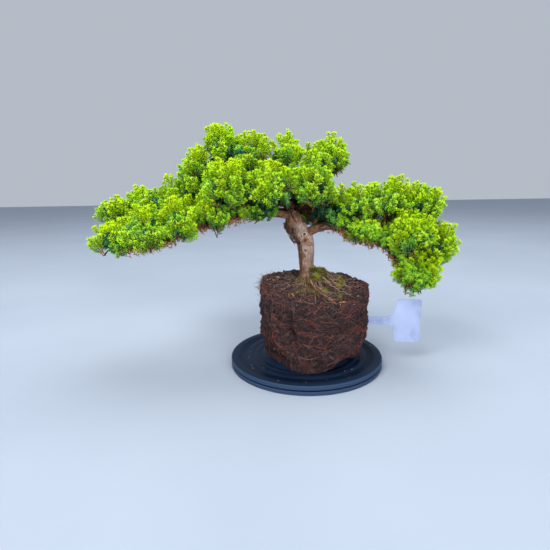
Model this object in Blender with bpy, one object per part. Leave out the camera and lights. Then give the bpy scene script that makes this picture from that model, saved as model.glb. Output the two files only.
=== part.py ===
"""A spreading juniper bonsai out of its pot: its root ball stands on a turntable of two discs.

Metres, +Z up. The origin is on the swivel's axis, at the underside of the base.
The tree's front faces -Y, and its longer side reaches towards -X.
"""
import math

import bmesh
import bpy
from mathutils import Matrix, Vector, noise

MM = 0.001

# Turntable
TABLE_RADIUS = 100 * MM
BASE_THICKNESS = 5.0 * MM
TOP_THICKNESS = 5.8 * MM
TABLE_GAP = 1.2 * MM
EDGE_ROUND = 1.2 * MM
RIM_WIDTH = 11 * MM
RIM_HEIGHT = 0.5 * MM
TABLE_SEGMENTS = 48

# Bearing between the discs
BALL_COUNT = 8
BALL_RADIUS = 2.5 * MM
RACE_RADIUS = 60 * MM
RACE_CLEARANCE = 0.45 * MM
CAGE_THICKNESS = 0.6 * MM
CAGE_MARGIN = 4 * MM
PIN_RADIUS = 3 * MM
PIN_CLEARANCE = 0.3 * MM
PIN_SEGMENTS = 20
POCKET_SEGMENTS = 12
SOCKET_FLOOR = 1.8 * MM

# Root ball, the shape of the pot it grew in
ROOT_BALL_RADIUS = 69 * MM
ROOT_BALL_FOOT_RADIUS = 65 * MM
ROOT_BALL_HEIGHT = 84 * MM
ROOT_BALL_CENTRE = Vector((10 * MM, -11 * MM))
SOIL_MOUND = 24 * MM
SOIL_TILT = 9 * MM
SOIL_ROUGHNESS = 2.2 * MM
ROOT_BALL_SEGMENTS = 30
TORN_CORNER_ANGLE = math.radians(212)
TORN_CORNER_HALF_WIDTH = math.radians(30)
TORN_CORNER_DEPTH = 10 * MM

# Tree
SPREAD = 462 * MM
DEPTH = 163 * MM
TREE_HEIGHT = 198 * MM
TRUNK_RADIUS = 10 * MM
TRUNK_BURIED = 30 * MM
FOOT_DEPTH = 8 * MM
PAD_GAP = 0.6 * MM
SEAT_GAP = 0.3 * MM
PAD_LUMP = 0.11
LIMB_TIP_RADIUS = 2 * MM
LIMB_TAPER = 0.8
CROWN_LEAD = 4 * MM
GRIP_REACH = 1.3
TUBE_SIDES = 10

# Moss and label
MOSS_RADII = Vector((25 * MM, 21 * MM, 8 * MM))
MOSS_REACH = 12 * MM
MOSS_SIDE = -6 * MM
MOSS_LUMP = 0.16
LABEL_STEM_WIDTH = 11 * MM
LABEL_STEM_LENGTH = 36 * MM
LABEL_BURIED = 18 * MM
LABEL_HEAD = Vector((33 * MM, 58 * MM))
LABEL_SHOULDER = 11 * MM
LABEL_CORNER = 3 * MM
LABEL_THICKNESS = 0.8 * MM
LABEL_HEIGHT = 48 * MM
LABEL_TURN = math.radians(1.5)

# Worked out from the sizes above
BASE_TOP = BASE_THICKNESS
TOP_UNDERSIDE = BASE_TOP + TABLE_GAP
RIM_TOP = TOP_UNDERSIDE + TOP_THICKNESS
PLATE_TOP = RIM_TOP - RIM_HEIGHT
BALL_LEVEL = (BASE_TOP + TOP_UNDERSIDE) / 2
ROOT_BALL_BOTTOM = PLATE_TOP + SEAT_GAP
FOOT = Vector((0, 0, ROOT_BALL_BOTTOM + ROOT_BALL_HEIGHT + SOIL_MOUND - FOOT_DEPTH))

# The tree is sketched in millimetres from the trunk's foot, at this spread, depth and height.
SKETCH = Vector((462, 163, 198))

# Each limb: where it starts and how it runs, with its radius at both ends.
TRUNK = ((1, 0, 0), (2, 0, 12), (1, 0, 26), (1, 0, 40), (-1, 0, 52), (-6, 0, 61), (-11, 0, 70),
         (-14, 0, 78), (-16, 1, 85), (-18, 2, 90))
TRUNK_TAPER = (1.15, 0.98, 0.92, 0.96, 1.04, 1.14, 1.08, 0.96, 0.8, 0.7)
CROWN_LIMB = ((-18, 2, 90), (-27, 6, 104), (-44, 10, 121), (-69, 10, 140), (-92, 10, 158), (-106, 10, 172))
SIDE_LIMBS = {
    "left_low_branch": (5.4, 2.0, ("trunk", "crown_branch"), (
        (-13, -1, 75), (-22, -3, 84), (-45, -7, 87), (-72, -12, 86), (-100, -18, 82), (-120, -23, 76),
        (-142, -28, 72), (-160, -32, 62), (-182, -35, 54), (-205, -37, 50), (-226, -37, 53))),
    "left_high_branch": (4.2, 1.7, ("trunk", "crown_branch", "left_low_branch"), (
        (-28, 7, 105), (-42, 16, 102), (-62, 24, 102), (-92, 31, 103), (-132, 36, 102), (-167, 38, 97),
        (-205, 38, 91), (-236, 36, 88))),
    "crown_right_branch": (3.8, 1.5, ("trunk", "crown_branch"), (
        (-40, 10, 117), (-26, 7, 117), (-10, 3, 120), (8, 0, 128), (24, -2, 140), (33, -2, 151))),
    "crown_rear_branch": (3.6, 1.5, ("trunk", "crown_branch", "left_high_branch"), (
        (-50, 10, 126), (-54, 24, 128), (-56, 40, 130), (-60, 56, 133), (-64, 66, 136))),
    "right_branch": (4.3, 1.6, ("trunk",), (
        (-4, 0, 57), (10, -4, 63), (20, -8, 68), (28, -11, 69), (38, -14, 65), (50, -17, 60), (64, -21, 56),
        (80, -25, 52), (94, -28, 46), (104, -30, 34), (114, -31, 18), (124, -32, 4))),
    "right_rear_branch": (3.2, 1.5, ("trunk", "right_branch"), (
        (26, -10, 69), (32, 4, 73), (44, 16, 77), (66, 25, 82), (96, 31, 86), (128, 33, 82), (156, 32, 68),
        (172, 26, 50))),
}

# Each mass of shoots: its centre and its half-widths.
PADS = {
    "shoots_left_low_tip": ((-228, -32, 66), (29, 31, 20)),
    "shoots_left_low_outer": ((-190, -32, 76), (34, 35, 25)),
    "shoots_left_low_middle": ((-148, -30, 88), (33, 35, 26)),
    "shoots_left_low_inner": ((-112, -26, 96), (32, 34, 25)),
    "shoots_left_high_tip": ((-246, 28, 95), (30, 28, 16)),
    "shoots_left_high_outer": ((-202, 32, 105), (33, 34, 22)),
    "shoots_left_high_middle": ((-158, 34, 117), (35, 36, 25)),
    "shoots_crown_left": ((-127, 2, 143), (29, 34, 28)),
    "shoots_crown_peak": ((-103, 6, 174), (25, 33, 25)),
    "shoots_crown_top": ((-66, 8, 161), (29, 38, 27)),
    "shoots_crown_middle": ((-26, 8, 156), (29, 38, 27)),
    "shoots_crown_right": ((14, 4, 149), (28, 36, 27)),
    "shoots_crown_right_tip": ((34, 0, 156), (18, 28, 23)),
    "shoots_crown_front_left": ((-92, -36, 126), (33, 31, 28)),
    "shoots_crown_front_middle": ((-44, -40, 124), (30, 30, 27)),
    "shoots_crown_front_right": ((6, -34, 124), (30, 30, 24)),
    "shoots_crown_rear_left": ((-104, 58, 128), (38, 31, 28)),
    "shoots_crown_rear_middle": ((-48, 62, 130), (34, 30, 28)),
    "shoots_crown_rear_right": ((6, 48, 124), (34, 30, 26)),
    "shoots_crown_under": ((-62, -12, 98), (34, 34, 17)),
    "shoots_crown_shade": ((10, 26, 92), (31, 26, 20)),
    "shoots_right_inner": ((58, -12, 100), (29, 31, 24)),
    "shoots_right_under": ((78, -18, 68), (32, 25, 17)),
    "shoots_right_top": ((102, -10, 106), (32, 34, 25)),
    "shoots_right_outer": ((138, -6, 97), (31, 34, 26)),
    "shoots_right_end": ((159, -16, 48), (27, 30, 28)),
    "shoots_right_front": ((120, -38, 66), (31, 28, 26)),
    "shoots_right_low": ((135, -30, 16), (33, 29, 28)),
    "shoots_right_rear_inner": ((76, 36, 88), (36, 27, 24)),
    "shoots_right_rear_outer": ((136, 38, 66), (32, 27, 27)),
}


def clear_scene():
    for scene_object in list(bpy.data.objects):
        bpy.data.objects.remove(scene_object)


def finish_material(name, colour, roughness, metallic=0.0):
    material = bpy.data.materials.new(name)
    material.use_nodes = True
    shader = material.node_tree.nodes["Principled BSDF"]
    shader.inputs["Base Color"].default_value = (*colour, 1.0)
    shader.inputs["Roughness"].default_value = roughness
    shader.inputs["Metallic"].default_value = metallic
    return material


def make_materials():
    return {
        "disc": finish_material("moulded_black_plastic", (0.008, 0.010, 0.014), 0.45),
        "steel": finish_material("bearing_steel", (0.55, 0.55, 0.56), 0.25, 1.0),
        "cage": finish_material("cage_plastic", (0.60, 0.60, 0.56), 0.5),
        "roots": finish_material("matted_roots", (0.055, 0.025, 0.016), 0.95),
        "moss": finish_material("cushion_moss", (0.14, 0.20, 0.02), 0.95),
        "label": finish_material("white_label_plastic", (0.78, 0.80, 0.88), 0.4),
        "bark": finish_material("juniper_bark", (0.17, 0.10, 0.07), 0.9),
        "foliage": finish_material("juniper_needles", (0.16, 0.38, 0.03), 0.6),
    }


def add_object(name, mesh_builder, material, parent=None, smooth=math.radians(40)):
    mesh = bpy.data.meshes.new(name)
    bmesh.ops.recalc_face_normals(mesh_builder, faces=mesh_builder.faces)
    bmesh.ops.triangulate(mesh_builder, faces=mesh_builder.faces)
    mesh_builder.to_mesh(mesh)
    mesh_builder.free()
    mesh.materials.append(material)
    mesh.shade_smooth()
    mesh.set_sharp_from_angle(angle=smooth)
    new_object = bpy.data.objects.new(name, mesh)
    bpy.context.collection.objects.link(new_object)
    new_object.parent = parent
    return new_object


def add_cutter(name, mesh_builder, material, parent):
    cutter = add_object(name, mesh_builder, material, parent)
    cutter.hide_render = True
    cutter.display_type = "WIRE"
    return cutter


def cut_by(target, cutter):
    cut = target.modifiers.new("clearance for " + cutter.name, "BOOLEAN")
    cut.operation = "DIFFERENCE"
    cut.solver = "EXACT"
    cut.object = cutter


def close_rings(mesh_builder, rings):
    """Joins rings of vertices in order. A ring of one vertex is a pole, and open ends are capped."""
    for lower, upper in zip(rings, rings[1:]):
        count = max(len(lower), len(upper))
        for i in range(count):
            j = (i + 1) % count
            if len(lower) == 1:
                mesh_builder.faces.new((lower[0], upper[j], upper[i]))
            elif len(upper) == 1:
                mesh_builder.faces.new((lower[i], lower[j], upper[0]))
            else:
                mesh_builder.faces.new((lower[i], lower[j], upper[j], upper[i]))
    if len(rings[0]) > 1:
        mesh_builder.faces.new(tuple(reversed(rings[0])))
    if len(rings[-1]) > 1:
        mesh_builder.faces.new(tuple(rings[-1]))


def turned(profile, segments):
    """A solid turned about Z. The profile runs from pole to pole as (radius, height)."""
    mesh_builder = bmesh.new()
    rings = []
    for radius, height in profile:
        if radius == 0:
            rings.append([mesh_builder.verts.new((0, 0, height))])
            continue
        angles = [math.tau * i / segments for i in range(segments)]
        rings.append([mesh_builder.verts.new((radius * math.cos(a), radius * math.sin(a), height))
                      for a in angles])
    close_rings(mesh_builder, rings)
    return mesh_builder


def race_groove(level, side, steps=7):
    """Points across the groove that the balls run in. side is -1 below them and 1 above."""
    radius = BALL_RADIUS + RACE_CLEARANCE
    half_open = math.acos((abs(level - BALL_LEVEL)) / radius)
    points = []
    for i in range(steps):
        turn = half_open * (2 * i / (steps - 1) - 1)
        points.append((RACE_RADIUS + radius * math.sin(turn), BALL_LEVEL + side * radius * math.cos(turn)))
    return points


def disc_edge(bottom, top):
    return [(TABLE_RADIUS - EDGE_ROUND, bottom), (TABLE_RADIUS, bottom + EDGE_ROUND),
            (TABLE_RADIUS, top - EDGE_ROUND), (TABLE_RADIUS - EDGE_ROUND, top)]


def make_turntable_base(material):
    hole = PIN_RADIUS + PIN_CLEARANCE
    profile = [(0, 0)] + disc_edge(0, BASE_TOP)
    profile += list(reversed(race_groove(BASE_TOP, -1)))
    profile += [(hole, BASE_TOP), (hole, SOCKET_FLOOR), (0, SOCKET_FLOOR)]
    return add_object("turntable_base", turned(profile, TABLE_SEGMENTS), material)


def make_turntable_top(material, swivel):
    hole = PIN_RADIUS + PIN_CLEARANCE
    ceiling = PLATE_TOP - SOCKET_FLOOR
    rim_inner = TABLE_RADIUS - RIM_WIDTH
    profile = [(0, ceiling), (hole, ceiling), (hole, TOP_UNDERSIDE)]
    profile += race_groove(TOP_UNDERSIDE, 1)
    profile += disc_edge(TOP_UNDERSIDE, RIM_TOP)
    profile += [(rim_inner, RIM_TOP), (rim_inner - RIM_HEIGHT, PLATE_TOP), (0, PLATE_TOP)]
    return add_object("turntable_top", turned(profile, TABLE_SEGMENTS), material, swivel)


def make_pivot_pin(material):
    bottom = SOCKET_FLOOR + SEAT_GAP
    top = PLATE_TOP - SOCKET_FLOOR - SEAT_GAP
    profile = [(0, bottom), (PIN_RADIUS, bottom), (PIN_RADIUS, top), (0, top)]
    return add_object("pivot_pin", turned(profile, PIN_SEGMENTS), material)


def make_ball_cage(material, bearing):
    low = BALL_LEVEL - CAGE_THICKNESS / 2
    high = BALL_LEVEL + CAGE_THICKNESS / 2
    inner = RACE_RADIUS - BALL_RADIUS - CAGE_MARGIN
    outer = RACE_RADIUS + BALL_RADIUS + CAGE_MARGIN
    mesh_builder = bmesh.new()
    rings = []
    for radius, height in ((inner, low), (outer, low), (outer, high), (inner, high)):
        angles = [math.tau * i / TABLE_SEGMENTS for i in range(TABLE_SEGMENTS)]
        rings.append([mesh_builder.verts.new((radius * math.cos(a), radius * math.sin(a), height))
                      for a in angles])
    for lower, upper in zip(rings, rings[1:] + rings[:1]):
        for i in range(TABLE_SEGMENTS):
            j = (i + 1) % TABLE_SEGMENTS
            mesh_builder.faces.new((lower[i], lower[j], upper[j], upper[i]))
    cage = add_object("ball_cage", mesh_builder, material, bearing)
    pockets = bmesh.new()
    for i in range(BALL_COUNT):
        pocket = bmesh.ops.create_cone(
            pockets, cap_ends=True, segments=POCKET_SEGMENTS, radius1=BALL_RADIUS + RACE_CLEARANCE,
            radius2=BALL_RADIUS + RACE_CLEARANCE, depth=4 * CAGE_THICKNESS)
        bmesh.ops.translate(pockets, verts=pocket["verts"], vec=ball_place(i) + Vector((0, 0, BALL_LEVEL)))
    cut_by(cage, add_cutter("cage_pockets", pockets, material, bearing))
    return cage


def ball_place(index):
    angle = math.tau * index / BALL_COUNT
    return Vector((RACE_RADIUS * math.cos(angle), RACE_RADIUS * math.sin(angle), 0))


def make_bearing_balls(material, bearing):
    mesh_builder = bmesh.new()
    bmesh.ops.create_icosphere(mesh_builder, subdivisions=2, radius=BALL_RADIUS)
    first = add_object("bearing_ball_1", mesh_builder, material, bearing)
    first.location = ball_place(0) + Vector((0, 0, BALL_LEVEL))
    for i in range(1, BALL_COUNT):
        ball = bpy.data.objects.new(f"bearing_ball_{i + 1}", first.data)
        bpy.context.collection.objects.link(ball)
        ball.parent = bearing
        ball.location = ball_place(i) + Vector((0, 0, BALL_LEVEL))


def ripple(place, scale, seed):
    """A smooth wander between about -1 and 1, the same on each run."""
    return noise.noise(Vector(place) / scale + Vector((seed * 7.3, seed * 3.1, seed * 5.7))) * 1.6


def root_ball_point(angle, height, width):
    """A point on the root ball: height from 0 to 1 up its wall, width from 0 to 1 out to the wall."""
    wall = ROOT_BALL_FOOT_RADIUS + (ROOT_BALL_RADIUS - ROOT_BALL_FOOT_RADIUS) * height
    direction = Vector((math.cos(angle), math.sin(angle)))
    flat = ROOT_BALL_CENTRE + direction * wall * width
    return flat, direction


def root_ball_wall(angle, height, width):
    flat, direction = root_ball_point(angle, height, width)
    z = ROOT_BALL_BOTTOM + ROOT_BALL_HEIGHT * height
    bulge = ripple((flat.x, flat.y, z), 30 * MM, 1) * SOIL_ROUGHNESS * math.sin(math.pi * height) ** 0.5
    torn = wrap_bump(angle, TORN_CORNER_ANGLE, TORN_CORNER_HALF_WIDTH) * (1 - height) ** 3
    flat = flat + direction * (bulge - torn * TORN_CORNER_DEPTH)
    return (flat.x, flat.y, z + SOIL_TILT * height ** 4 * math.sin(angle))


def wrap_bump(angle, centre, half_width):
    away = (angle - centre + math.pi) % math.tau - math.pi
    return max(0.0, math.cos(min(abs(away) / half_width, 1) * math.pi / 2))


def soil_point(angle, width):
    flat, _ = root_ball_point(angle, 1, width)
    rise = SOIL_MOUND * (1 - width ** 3) + SOIL_TILT * math.sin(angle) * width
    rough = ripple((flat.x, flat.y, 0), 22 * MM, 2) * SOIL_ROUGHNESS * width * 0.6
    return (flat.x, flat.y, ROOT_BALL_BOTTOM + ROOT_BALL_HEIGHT + rise + rough)


def make_root_ball(material, swivel):
    mesh_builder = bmesh.new()
    angles = [math.tau * i / ROOT_BALL_SEGMENTS for i in range(ROOT_BALL_SEGMENTS)]
    rings = [[mesh_builder.verts.new((*ROOT_BALL_CENTRE, ROOT_BALL_BOTTOM))]]
    for height, width in ((0, 0.90), (0.04, 0.97), (0.16, 1), (0.34, 1), (0.52, 1), (0.70, 1), (0.86, 1),
                          (0.96, 0.99)):
        rings.append([mesh_builder.verts.new(root_ball_wall(a, height, width)) for a in angles])
    for width in (0.95, 0.80, 0.55, 0.28):
        rings.append([mesh_builder.verts.new(soil_point(a, width)) for a in angles])
    rings.append([mesh_builder.verts.new(soil_point(0, 0))])
    close_rings(mesh_builder, rings)
    return add_object("root_ball", mesh_builder, material, swivel, math.radians(80))


def soil_height(x, y):
    """Height of the soil's surface under a point."""
    away = Vector((x, y)) - ROOT_BALL_CENTRE
    width = min(away.length / ROOT_BALL_RADIUS, 1)
    return soil_point(math.atan2(away.y, away.x), width)[2]


def moss_mesh(gap):
    """The moss cushion, or its bed in the soil, wider all round by a gap."""
    radii = MOSS_RADII * (1 + gap / MOSS_RADII.z)
    mesh_builder = bmesh.new()
    bmesh.ops.create_uvsphere(mesh_builder, u_segments=14, v_segments=7, radius=1)
    x = TRUNK_RADIUS + MOSS_REACH
    place = Vector((x, MOSS_SIDE, soil_height(x, MOSS_SIDE)))
    for vert in mesh_builder.verts:
        lump = 1 + MOSS_LUMP * ripple(vert.co, 0.6, 3)
        vert.co = place + Vector(tuple(r * c * lump for r, c in zip(radii, vert.co)))
    return mesh_builder


def sketch_point(x, y, z):
    return FOOT + Vector((x * SPREAD / SKETCH.x, y * DEPTH / SKETCH.y, z * TREE_HEIGHT / SKETCH.z))


def tube(points, radii, sides=TUBE_SIDES):
    """A closed tapering tube through points, with flat ends."""
    mesh_builder = bmesh.new()
    side = Vector((0, 1, 0))
    rings = []
    for i, point in enumerate(points):
        along = (points[min(i + 1, len(points) - 1)] - points[max(i - 1, 0)]).normalized()
        side = (side - along * side.dot(along)).normalized()
        up = along.cross(side)
        angles = [math.tau * k / sides for k in range(sides)]
        rings.append([mesh_builder.verts.new(point + (side * math.cos(a) + up * math.sin(a)) * radii[i])
                      for a in angles])
    close_rings(mesh_builder, rings)
    return mesh_builder


def trunk_path():
    points = [sketch_point(*p) for p in TRUNK]
    buried = points[0] - Vector((0, 0, TRUNK_BURIED))
    radii = [TRUNK_RADIUS * share for share in TRUNK_TAPER]
    return [buried] + points, [radii[0]] + radii


def crown_path():
    """The crown's limb goes on from the trunk's flat top, a seat's gap away."""
    points = [sketch_point(*p) for p in CROWN_LIMB]
    trunk_points, trunk_radii = trunk_path()
    heading = (trunk_points[-1] - trunk_points[-2]).normalized()
    points[0] = trunk_points[-1] + heading * SEAT_GAP
    points.insert(1, points[0] + heading * CROWN_LEAD)
    return points, tapered(trunk_radii[-1], LIMB_TIP_RADIUS, len(points))


def tapered(start, end, count):
    return [start + (end - start) * (i / (count - 1)) ** LIMB_TAPER for i in range(count)]


def side_path(name):
    start, end, _, sketch = SIDE_LIMBS[name]
    points = [sketch_point(*p) for p in sketch]
    return points, tapered(start * MM, end * MM, len(points))


def make_limbs(material, swivel):
    """The trunk and limbs, each with the cutter that keeps its neighbours a seat's gap away."""
    paths = {"trunk": trunk_path(), "crown_branch": crown_path()}
    for name in SIDE_LIMBS:
        paths[name] = side_path(name)
    limbs = {}
    cutters = {}
    for name, (points, radii) in paths.items():
        limbs[name] = add_object(name, tube(points, radii), material, swivel, math.radians(60))
        loose = [radius + SEAT_GAP for radius in radii]
        cutters[name] = add_cutter(name + "_clearance", tube(points, loose), material, swivel)
    for name, (_, _, carriers, _) in SIDE_LIMBS.items():
        for carrier in carriers:
            cut_by(limbs[name], cutters[carrier])
    return paths, cutters


def reach(radii, direction):
    """How far an ellipsoid reaches from its centre along a direction."""
    return math.sqrt(sum((r * d) ** 2 for r, d in zip(radii, direction)))


def pad_mesh(name):
    centre, radii = pad_place(name)
    mesh_builder = bmesh.new()
    bmesh.ops.create_uvsphere(mesh_builder, u_segments=12, v_segments=8, radius=1)
    seed = list(PADS).index(name) + 10
    for vert in mesh_builder.verts:
        lump = 1 + PAD_LUMP * ripple(vert.co, 0.8, seed)
        vert.co = centre + Vector(tuple(r * c * lump for r, c in zip(radii, vert.co)))
    return mesh_builder


def pad_place(name):
    centre, half_widths = PADS[name]
    scale = Vector((SPREAD / SKETCH.x, DEPTH / SKETCH.y, TREE_HEIGHT / SKETCH.z))
    radii = Vector(tuple(h * s for h, s in zip(half_widths, scale)))
    return sketch_point(*centre), radii


def part_pads(mesh_builder, name):
    """Trims a mass of shoots halfway to each neighbour that it would run into."""
    centre, radii = pad_place(name)
    for other in PADS:
        other_centre, other_radii = pad_place(other)
        gap = other_centre - centre
        if other == name or gap.length == 0:
            continue
        direction = gap.normalized()
        own = reach(radii, direction)
        total = own + reach(other_radii, direction)
        if gap.length > total * (1 + 2 * PAD_LUMP):
            continue
        face = centre + direction * (gap.length * own / total - PAD_GAP / 2)
        everything = mesh_builder.verts[:] + mesh_builder.edges[:] + mesh_builder.faces[:]
        bmesh.ops.bisect_plane(mesh_builder, geom=everything, dist=1e-6, plane_co=face, plane_no=direction,
                               clear_outer=True)
        rim = [edge for edge in mesh_builder.edges if edge.is_boundary]
        if rim:
            bmesh.ops.holes_fill(mesh_builder, edges=rim)


def passes_through(path, name):
    """Whether a limb comes within a mass of shoots, with some room to spare."""
    centre, radii = pad_place(name)
    points, _ = path
    for start, end in zip(points, points[1:]):
        for step in range(5):
            away = start.lerp(end, step / 4) - centre
            if sum((a / r) ** 2 for a, r in zip(away, radii)) < GRIP_REACH ** 2:
                return True
    return False


def make_pads(material, swivel, paths, cutters):
    for name in PADS:
        mesh_builder = pad_mesh(name)
        part_pads(mesh_builder, name)
        bmesh.ops.dissolve_degenerate(mesh_builder, edges=mesh_builder.edges, dist=0.2 * MM)
        pad = add_object(name, mesh_builder, material, swivel)
        for limb, path in paths.items():
            if passes_through(path, name):
                cut_by(pad, cutters[limb])


def arc(centre, radius, start, end, steps=4):
    points = []
    for i in range(steps + 1):
        angle = start + (end - start) * i / steps
        points.append((centre[0] + radius * math.cos(angle), centre[1] + radius * math.sin(angle)))
    return points


def label_outline():
    """The label lying along +X from its stem's buried end, as (x, z)."""
    half_stem = LABEL_STEM_WIDTH / 2
    half_head = LABEL_HEAD.y / 2
    neck = LABEL_STEM_LENGTH + LABEL_BURIED
    inner = neck + LABEL_SHOULDER
    outer = neck + LABEL_HEAD.x
    corner = LABEL_CORNER
    upper = [(0, half_stem * 0.5), (half_stem, half_stem), (neck, half_stem)]
    upper += arc((inner, half_head - corner), corner, math.radians(150), math.radians(90), 2)
    upper += arc((outer - corner, half_head - corner), corner, math.radians(90), 0)
    return upper + [(x, -z) for x, z in reversed(upper)]


def label_mesh(grow):
    mesh_builder = bmesh.new()
    half = LABEL_THICKNESS / 2 + grow
    outline = label_outline()
    middle = (LABEL_STEM_LENGTH + LABEL_BURIED) / 2
    rings = []
    for y in (-half, half):
        rings.append([mesh_builder.verts.new((x + math.copysign(grow, x - middle), y,
                                              z + math.copysign(grow, z)))
                      for x, z in outline])
    close_rings(mesh_builder, rings)
    place = Vector((ROOT_BALL_CENTRE.x + ROOT_BALL_RADIUS - LABEL_BURIED, ROOT_BALL_CENTRE.y,
                    ROOT_BALL_BOTTOM + LABEL_HEIGHT))
    turn = Matrix.Translation(place) @ Matrix.Rotation(LABEL_TURN, 4, "Y")
    bmesh.ops.transform(mesh_builder, matrix=turn, verts=mesh_builder.verts)
    return mesh_builder


def add_empty(name):
    empty = bpy.data.objects.new(name, None)
    bpy.context.collection.objects.link(empty)
    return empty


def main():
    clear_scene()
    materials = make_materials()
    swivel = add_empty("swivel")
    bearing = add_empty("bearing")
    make_turntable_base(materials["disc"])
    make_pivot_pin(materials["steel"])
    make_ball_cage(materials["cage"], bearing)
    make_bearing_balls(materials["steel"], bearing)
    make_turntable_top(materials["disc"], swivel)
    paths, cutters = make_limbs(materials["bark"], swivel)
    root_ball = make_root_ball(materials["roots"], swivel)
    moss = add_object("moss", moss_mesh(0), materials["moss"], swivel)
    add_object("plant_label", label_mesh(0), materials["label"], swivel)
    moss_bed = add_cutter("moss_bed", moss_mesh(SEAT_GAP), materials["moss"], swivel)
    label_slot = add_cutter("label_slot", label_mesh(SEAT_GAP), materials["label"], swivel)
    cut_by(moss, cutters["trunk"])
    for cutter in (cutters["trunk"], moss_bed, label_slot):
        cut_by(root_ball, cutter)
    make_pads(materials["foliage"], swivel, paths, cutters)


main()
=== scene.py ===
"""The looks of a spreading juniper bonsai that stands, out of its pot, on a black turntable.

Metres, +Z up, the swivel's axis along Z through the origin. The tree's front faces -Y.
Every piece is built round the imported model: foliage, bark, roots, soil, moss, label and discs.
"""
import math

import bmesh
import bpy
import numpy as np
from mathutils import Matrix, Vector, noise
from mathutils.bvhtree import BVHTree


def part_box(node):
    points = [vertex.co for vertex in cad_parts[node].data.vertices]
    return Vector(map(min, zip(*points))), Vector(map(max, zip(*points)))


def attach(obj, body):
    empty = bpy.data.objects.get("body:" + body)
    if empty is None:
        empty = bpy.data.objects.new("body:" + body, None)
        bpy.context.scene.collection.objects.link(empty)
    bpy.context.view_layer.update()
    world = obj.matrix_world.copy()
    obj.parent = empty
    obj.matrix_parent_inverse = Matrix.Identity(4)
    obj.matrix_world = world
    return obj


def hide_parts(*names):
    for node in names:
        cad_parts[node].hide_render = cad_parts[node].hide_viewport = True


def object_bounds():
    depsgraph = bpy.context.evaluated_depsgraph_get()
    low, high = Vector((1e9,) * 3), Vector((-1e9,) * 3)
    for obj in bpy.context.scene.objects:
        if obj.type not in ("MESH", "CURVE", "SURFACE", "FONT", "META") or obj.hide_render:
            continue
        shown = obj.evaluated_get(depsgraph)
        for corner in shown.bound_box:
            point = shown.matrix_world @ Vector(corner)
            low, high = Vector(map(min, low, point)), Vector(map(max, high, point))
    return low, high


MM = 0.001
UP = np.array((0.0, 0.0, 1.0))

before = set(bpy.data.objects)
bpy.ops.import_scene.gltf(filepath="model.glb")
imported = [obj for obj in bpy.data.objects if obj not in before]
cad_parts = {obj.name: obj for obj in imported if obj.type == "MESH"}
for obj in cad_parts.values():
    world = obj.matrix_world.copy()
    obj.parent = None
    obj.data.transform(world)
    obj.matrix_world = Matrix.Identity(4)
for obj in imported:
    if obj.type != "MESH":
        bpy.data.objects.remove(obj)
cad_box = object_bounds()


# ---------------------------------------------------------------- camera, light and floor

CAMERA_PLACE = Vector((-0.040, -0.5256, 0.2301))
CAMERA_PITCH = math.radians(11.94)
CAMERA_ROLL = math.radians(-0.93)
LENS_MM = 27.03
SENSOR_MM = 36.0


def add_camera():
    """The camera in front of the tree and a little above it, tilted down and rolled a touch."""
    ahead = Vector((0, math.cos(CAMERA_PITCH), -math.sin(CAMERA_PITCH)))
    level = Vector((1, 0, 0))
    above = level.cross(ahead)
    right = level * math.cos(CAMERA_ROLL) + above * math.sin(CAMERA_ROLL)
    top = above * math.cos(CAMERA_ROLL) - level * math.sin(CAMERA_ROLL)
    lens = bpy.data.cameras.new("camera")
    lens.sensor_width = SENSOR_MM
    lens.lens = LENS_MM
    lens.clip_start = 0.01
    camera = bpy.data.objects.new("camera", lens)
    bpy.context.collection.objects.link(camera)
    turn = Matrix((right, top, -ahead)).transposed().to_4x4()
    camera.matrix_world = Matrix.Translation(CAMERA_PLACE) @ turn
    bpy.context.scene.camera = camera


def add_softbox(name, place, target, size, watts, colour, beam=math.pi):
    """A square area light that faces the target; beam is how wide it spreads."""
    lamp = bpy.data.lights.new(name, "AREA")
    lamp.shape = "SQUARE"
    lamp.size = size
    lamp.energy = watts
    lamp.color = colour
    lamp.spread = beam
    softbox = bpy.data.objects.new(name, lamp)
    bpy.context.collection.objects.link(softbox)
    softbox.location = place
    softbox.rotation_euler = (Vector(target) - Vector(place)).to_track_quat("-Z", "Y").to_euler()


def add_lights():
    add_softbox("window_key", (-1.2, -1.5, 2.0), (0, 0, 0.16), 1.3, 56, (1.0, 0.99, 0.96))
    add_softbox("ceiling_fill", (0.4, 0.5, 2.4), (0, 0, 0.15), 1.8, 34, (0.98, 0.99, 1.0))
    add_softbox("room_fill", (1.0, -2.2, 0.95), (0, 0, 0.15), 1.0, 7, (0.97, 0.99, 1.0), math.radians(75))
    world = bpy.data.worlds.new("pale_room")
    bpy.context.scene.world = world
    world.use_nodes = True
    world.node_tree.nodes["Background"].inputs["Color"].default_value = (*linear("#dfe8f5"), 1)
    world.node_tree.nodes["Background"].inputs["Strength"].default_value = 0.62


def add_floor():
    builder = bmesh.new()
    bmesh.ops.create_grid(builder, x_segments=1, y_segments=1, size=6)
    mesh = bpy.data.meshes.new("floor")
    builder.to_mesh(mesh)
    builder.free()
    floor = bpy.data.objects.new("floor", mesh)
    bpy.context.collection.objects.link(floor)
    floor.location.z = cad_box[0][2]
    mesh.materials.append(laminate_floor())


# ---------------------------------------------------------------- materials

def linear(code):
    """The linear value of an sRGB colour written as hex."""
    parts = [int(code[i:i + 2], 16) / 255 for i in (1, 3, 5)]
    return tuple(c / 12.92 if c <= 0.04045 else ((c + 0.055) / 1.055) ** 2.4 for c in parts)


def fill(node, inputs):
    """Sets a node's inputs by name, each by a value or a link."""
    for name, value in inputs.items():
        if isinstance(value, bpy.types.NodeSocket):
            node.id_data.links.new(value, node.inputs[name])
        else:
            node.inputs[name].default_value = value


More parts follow.
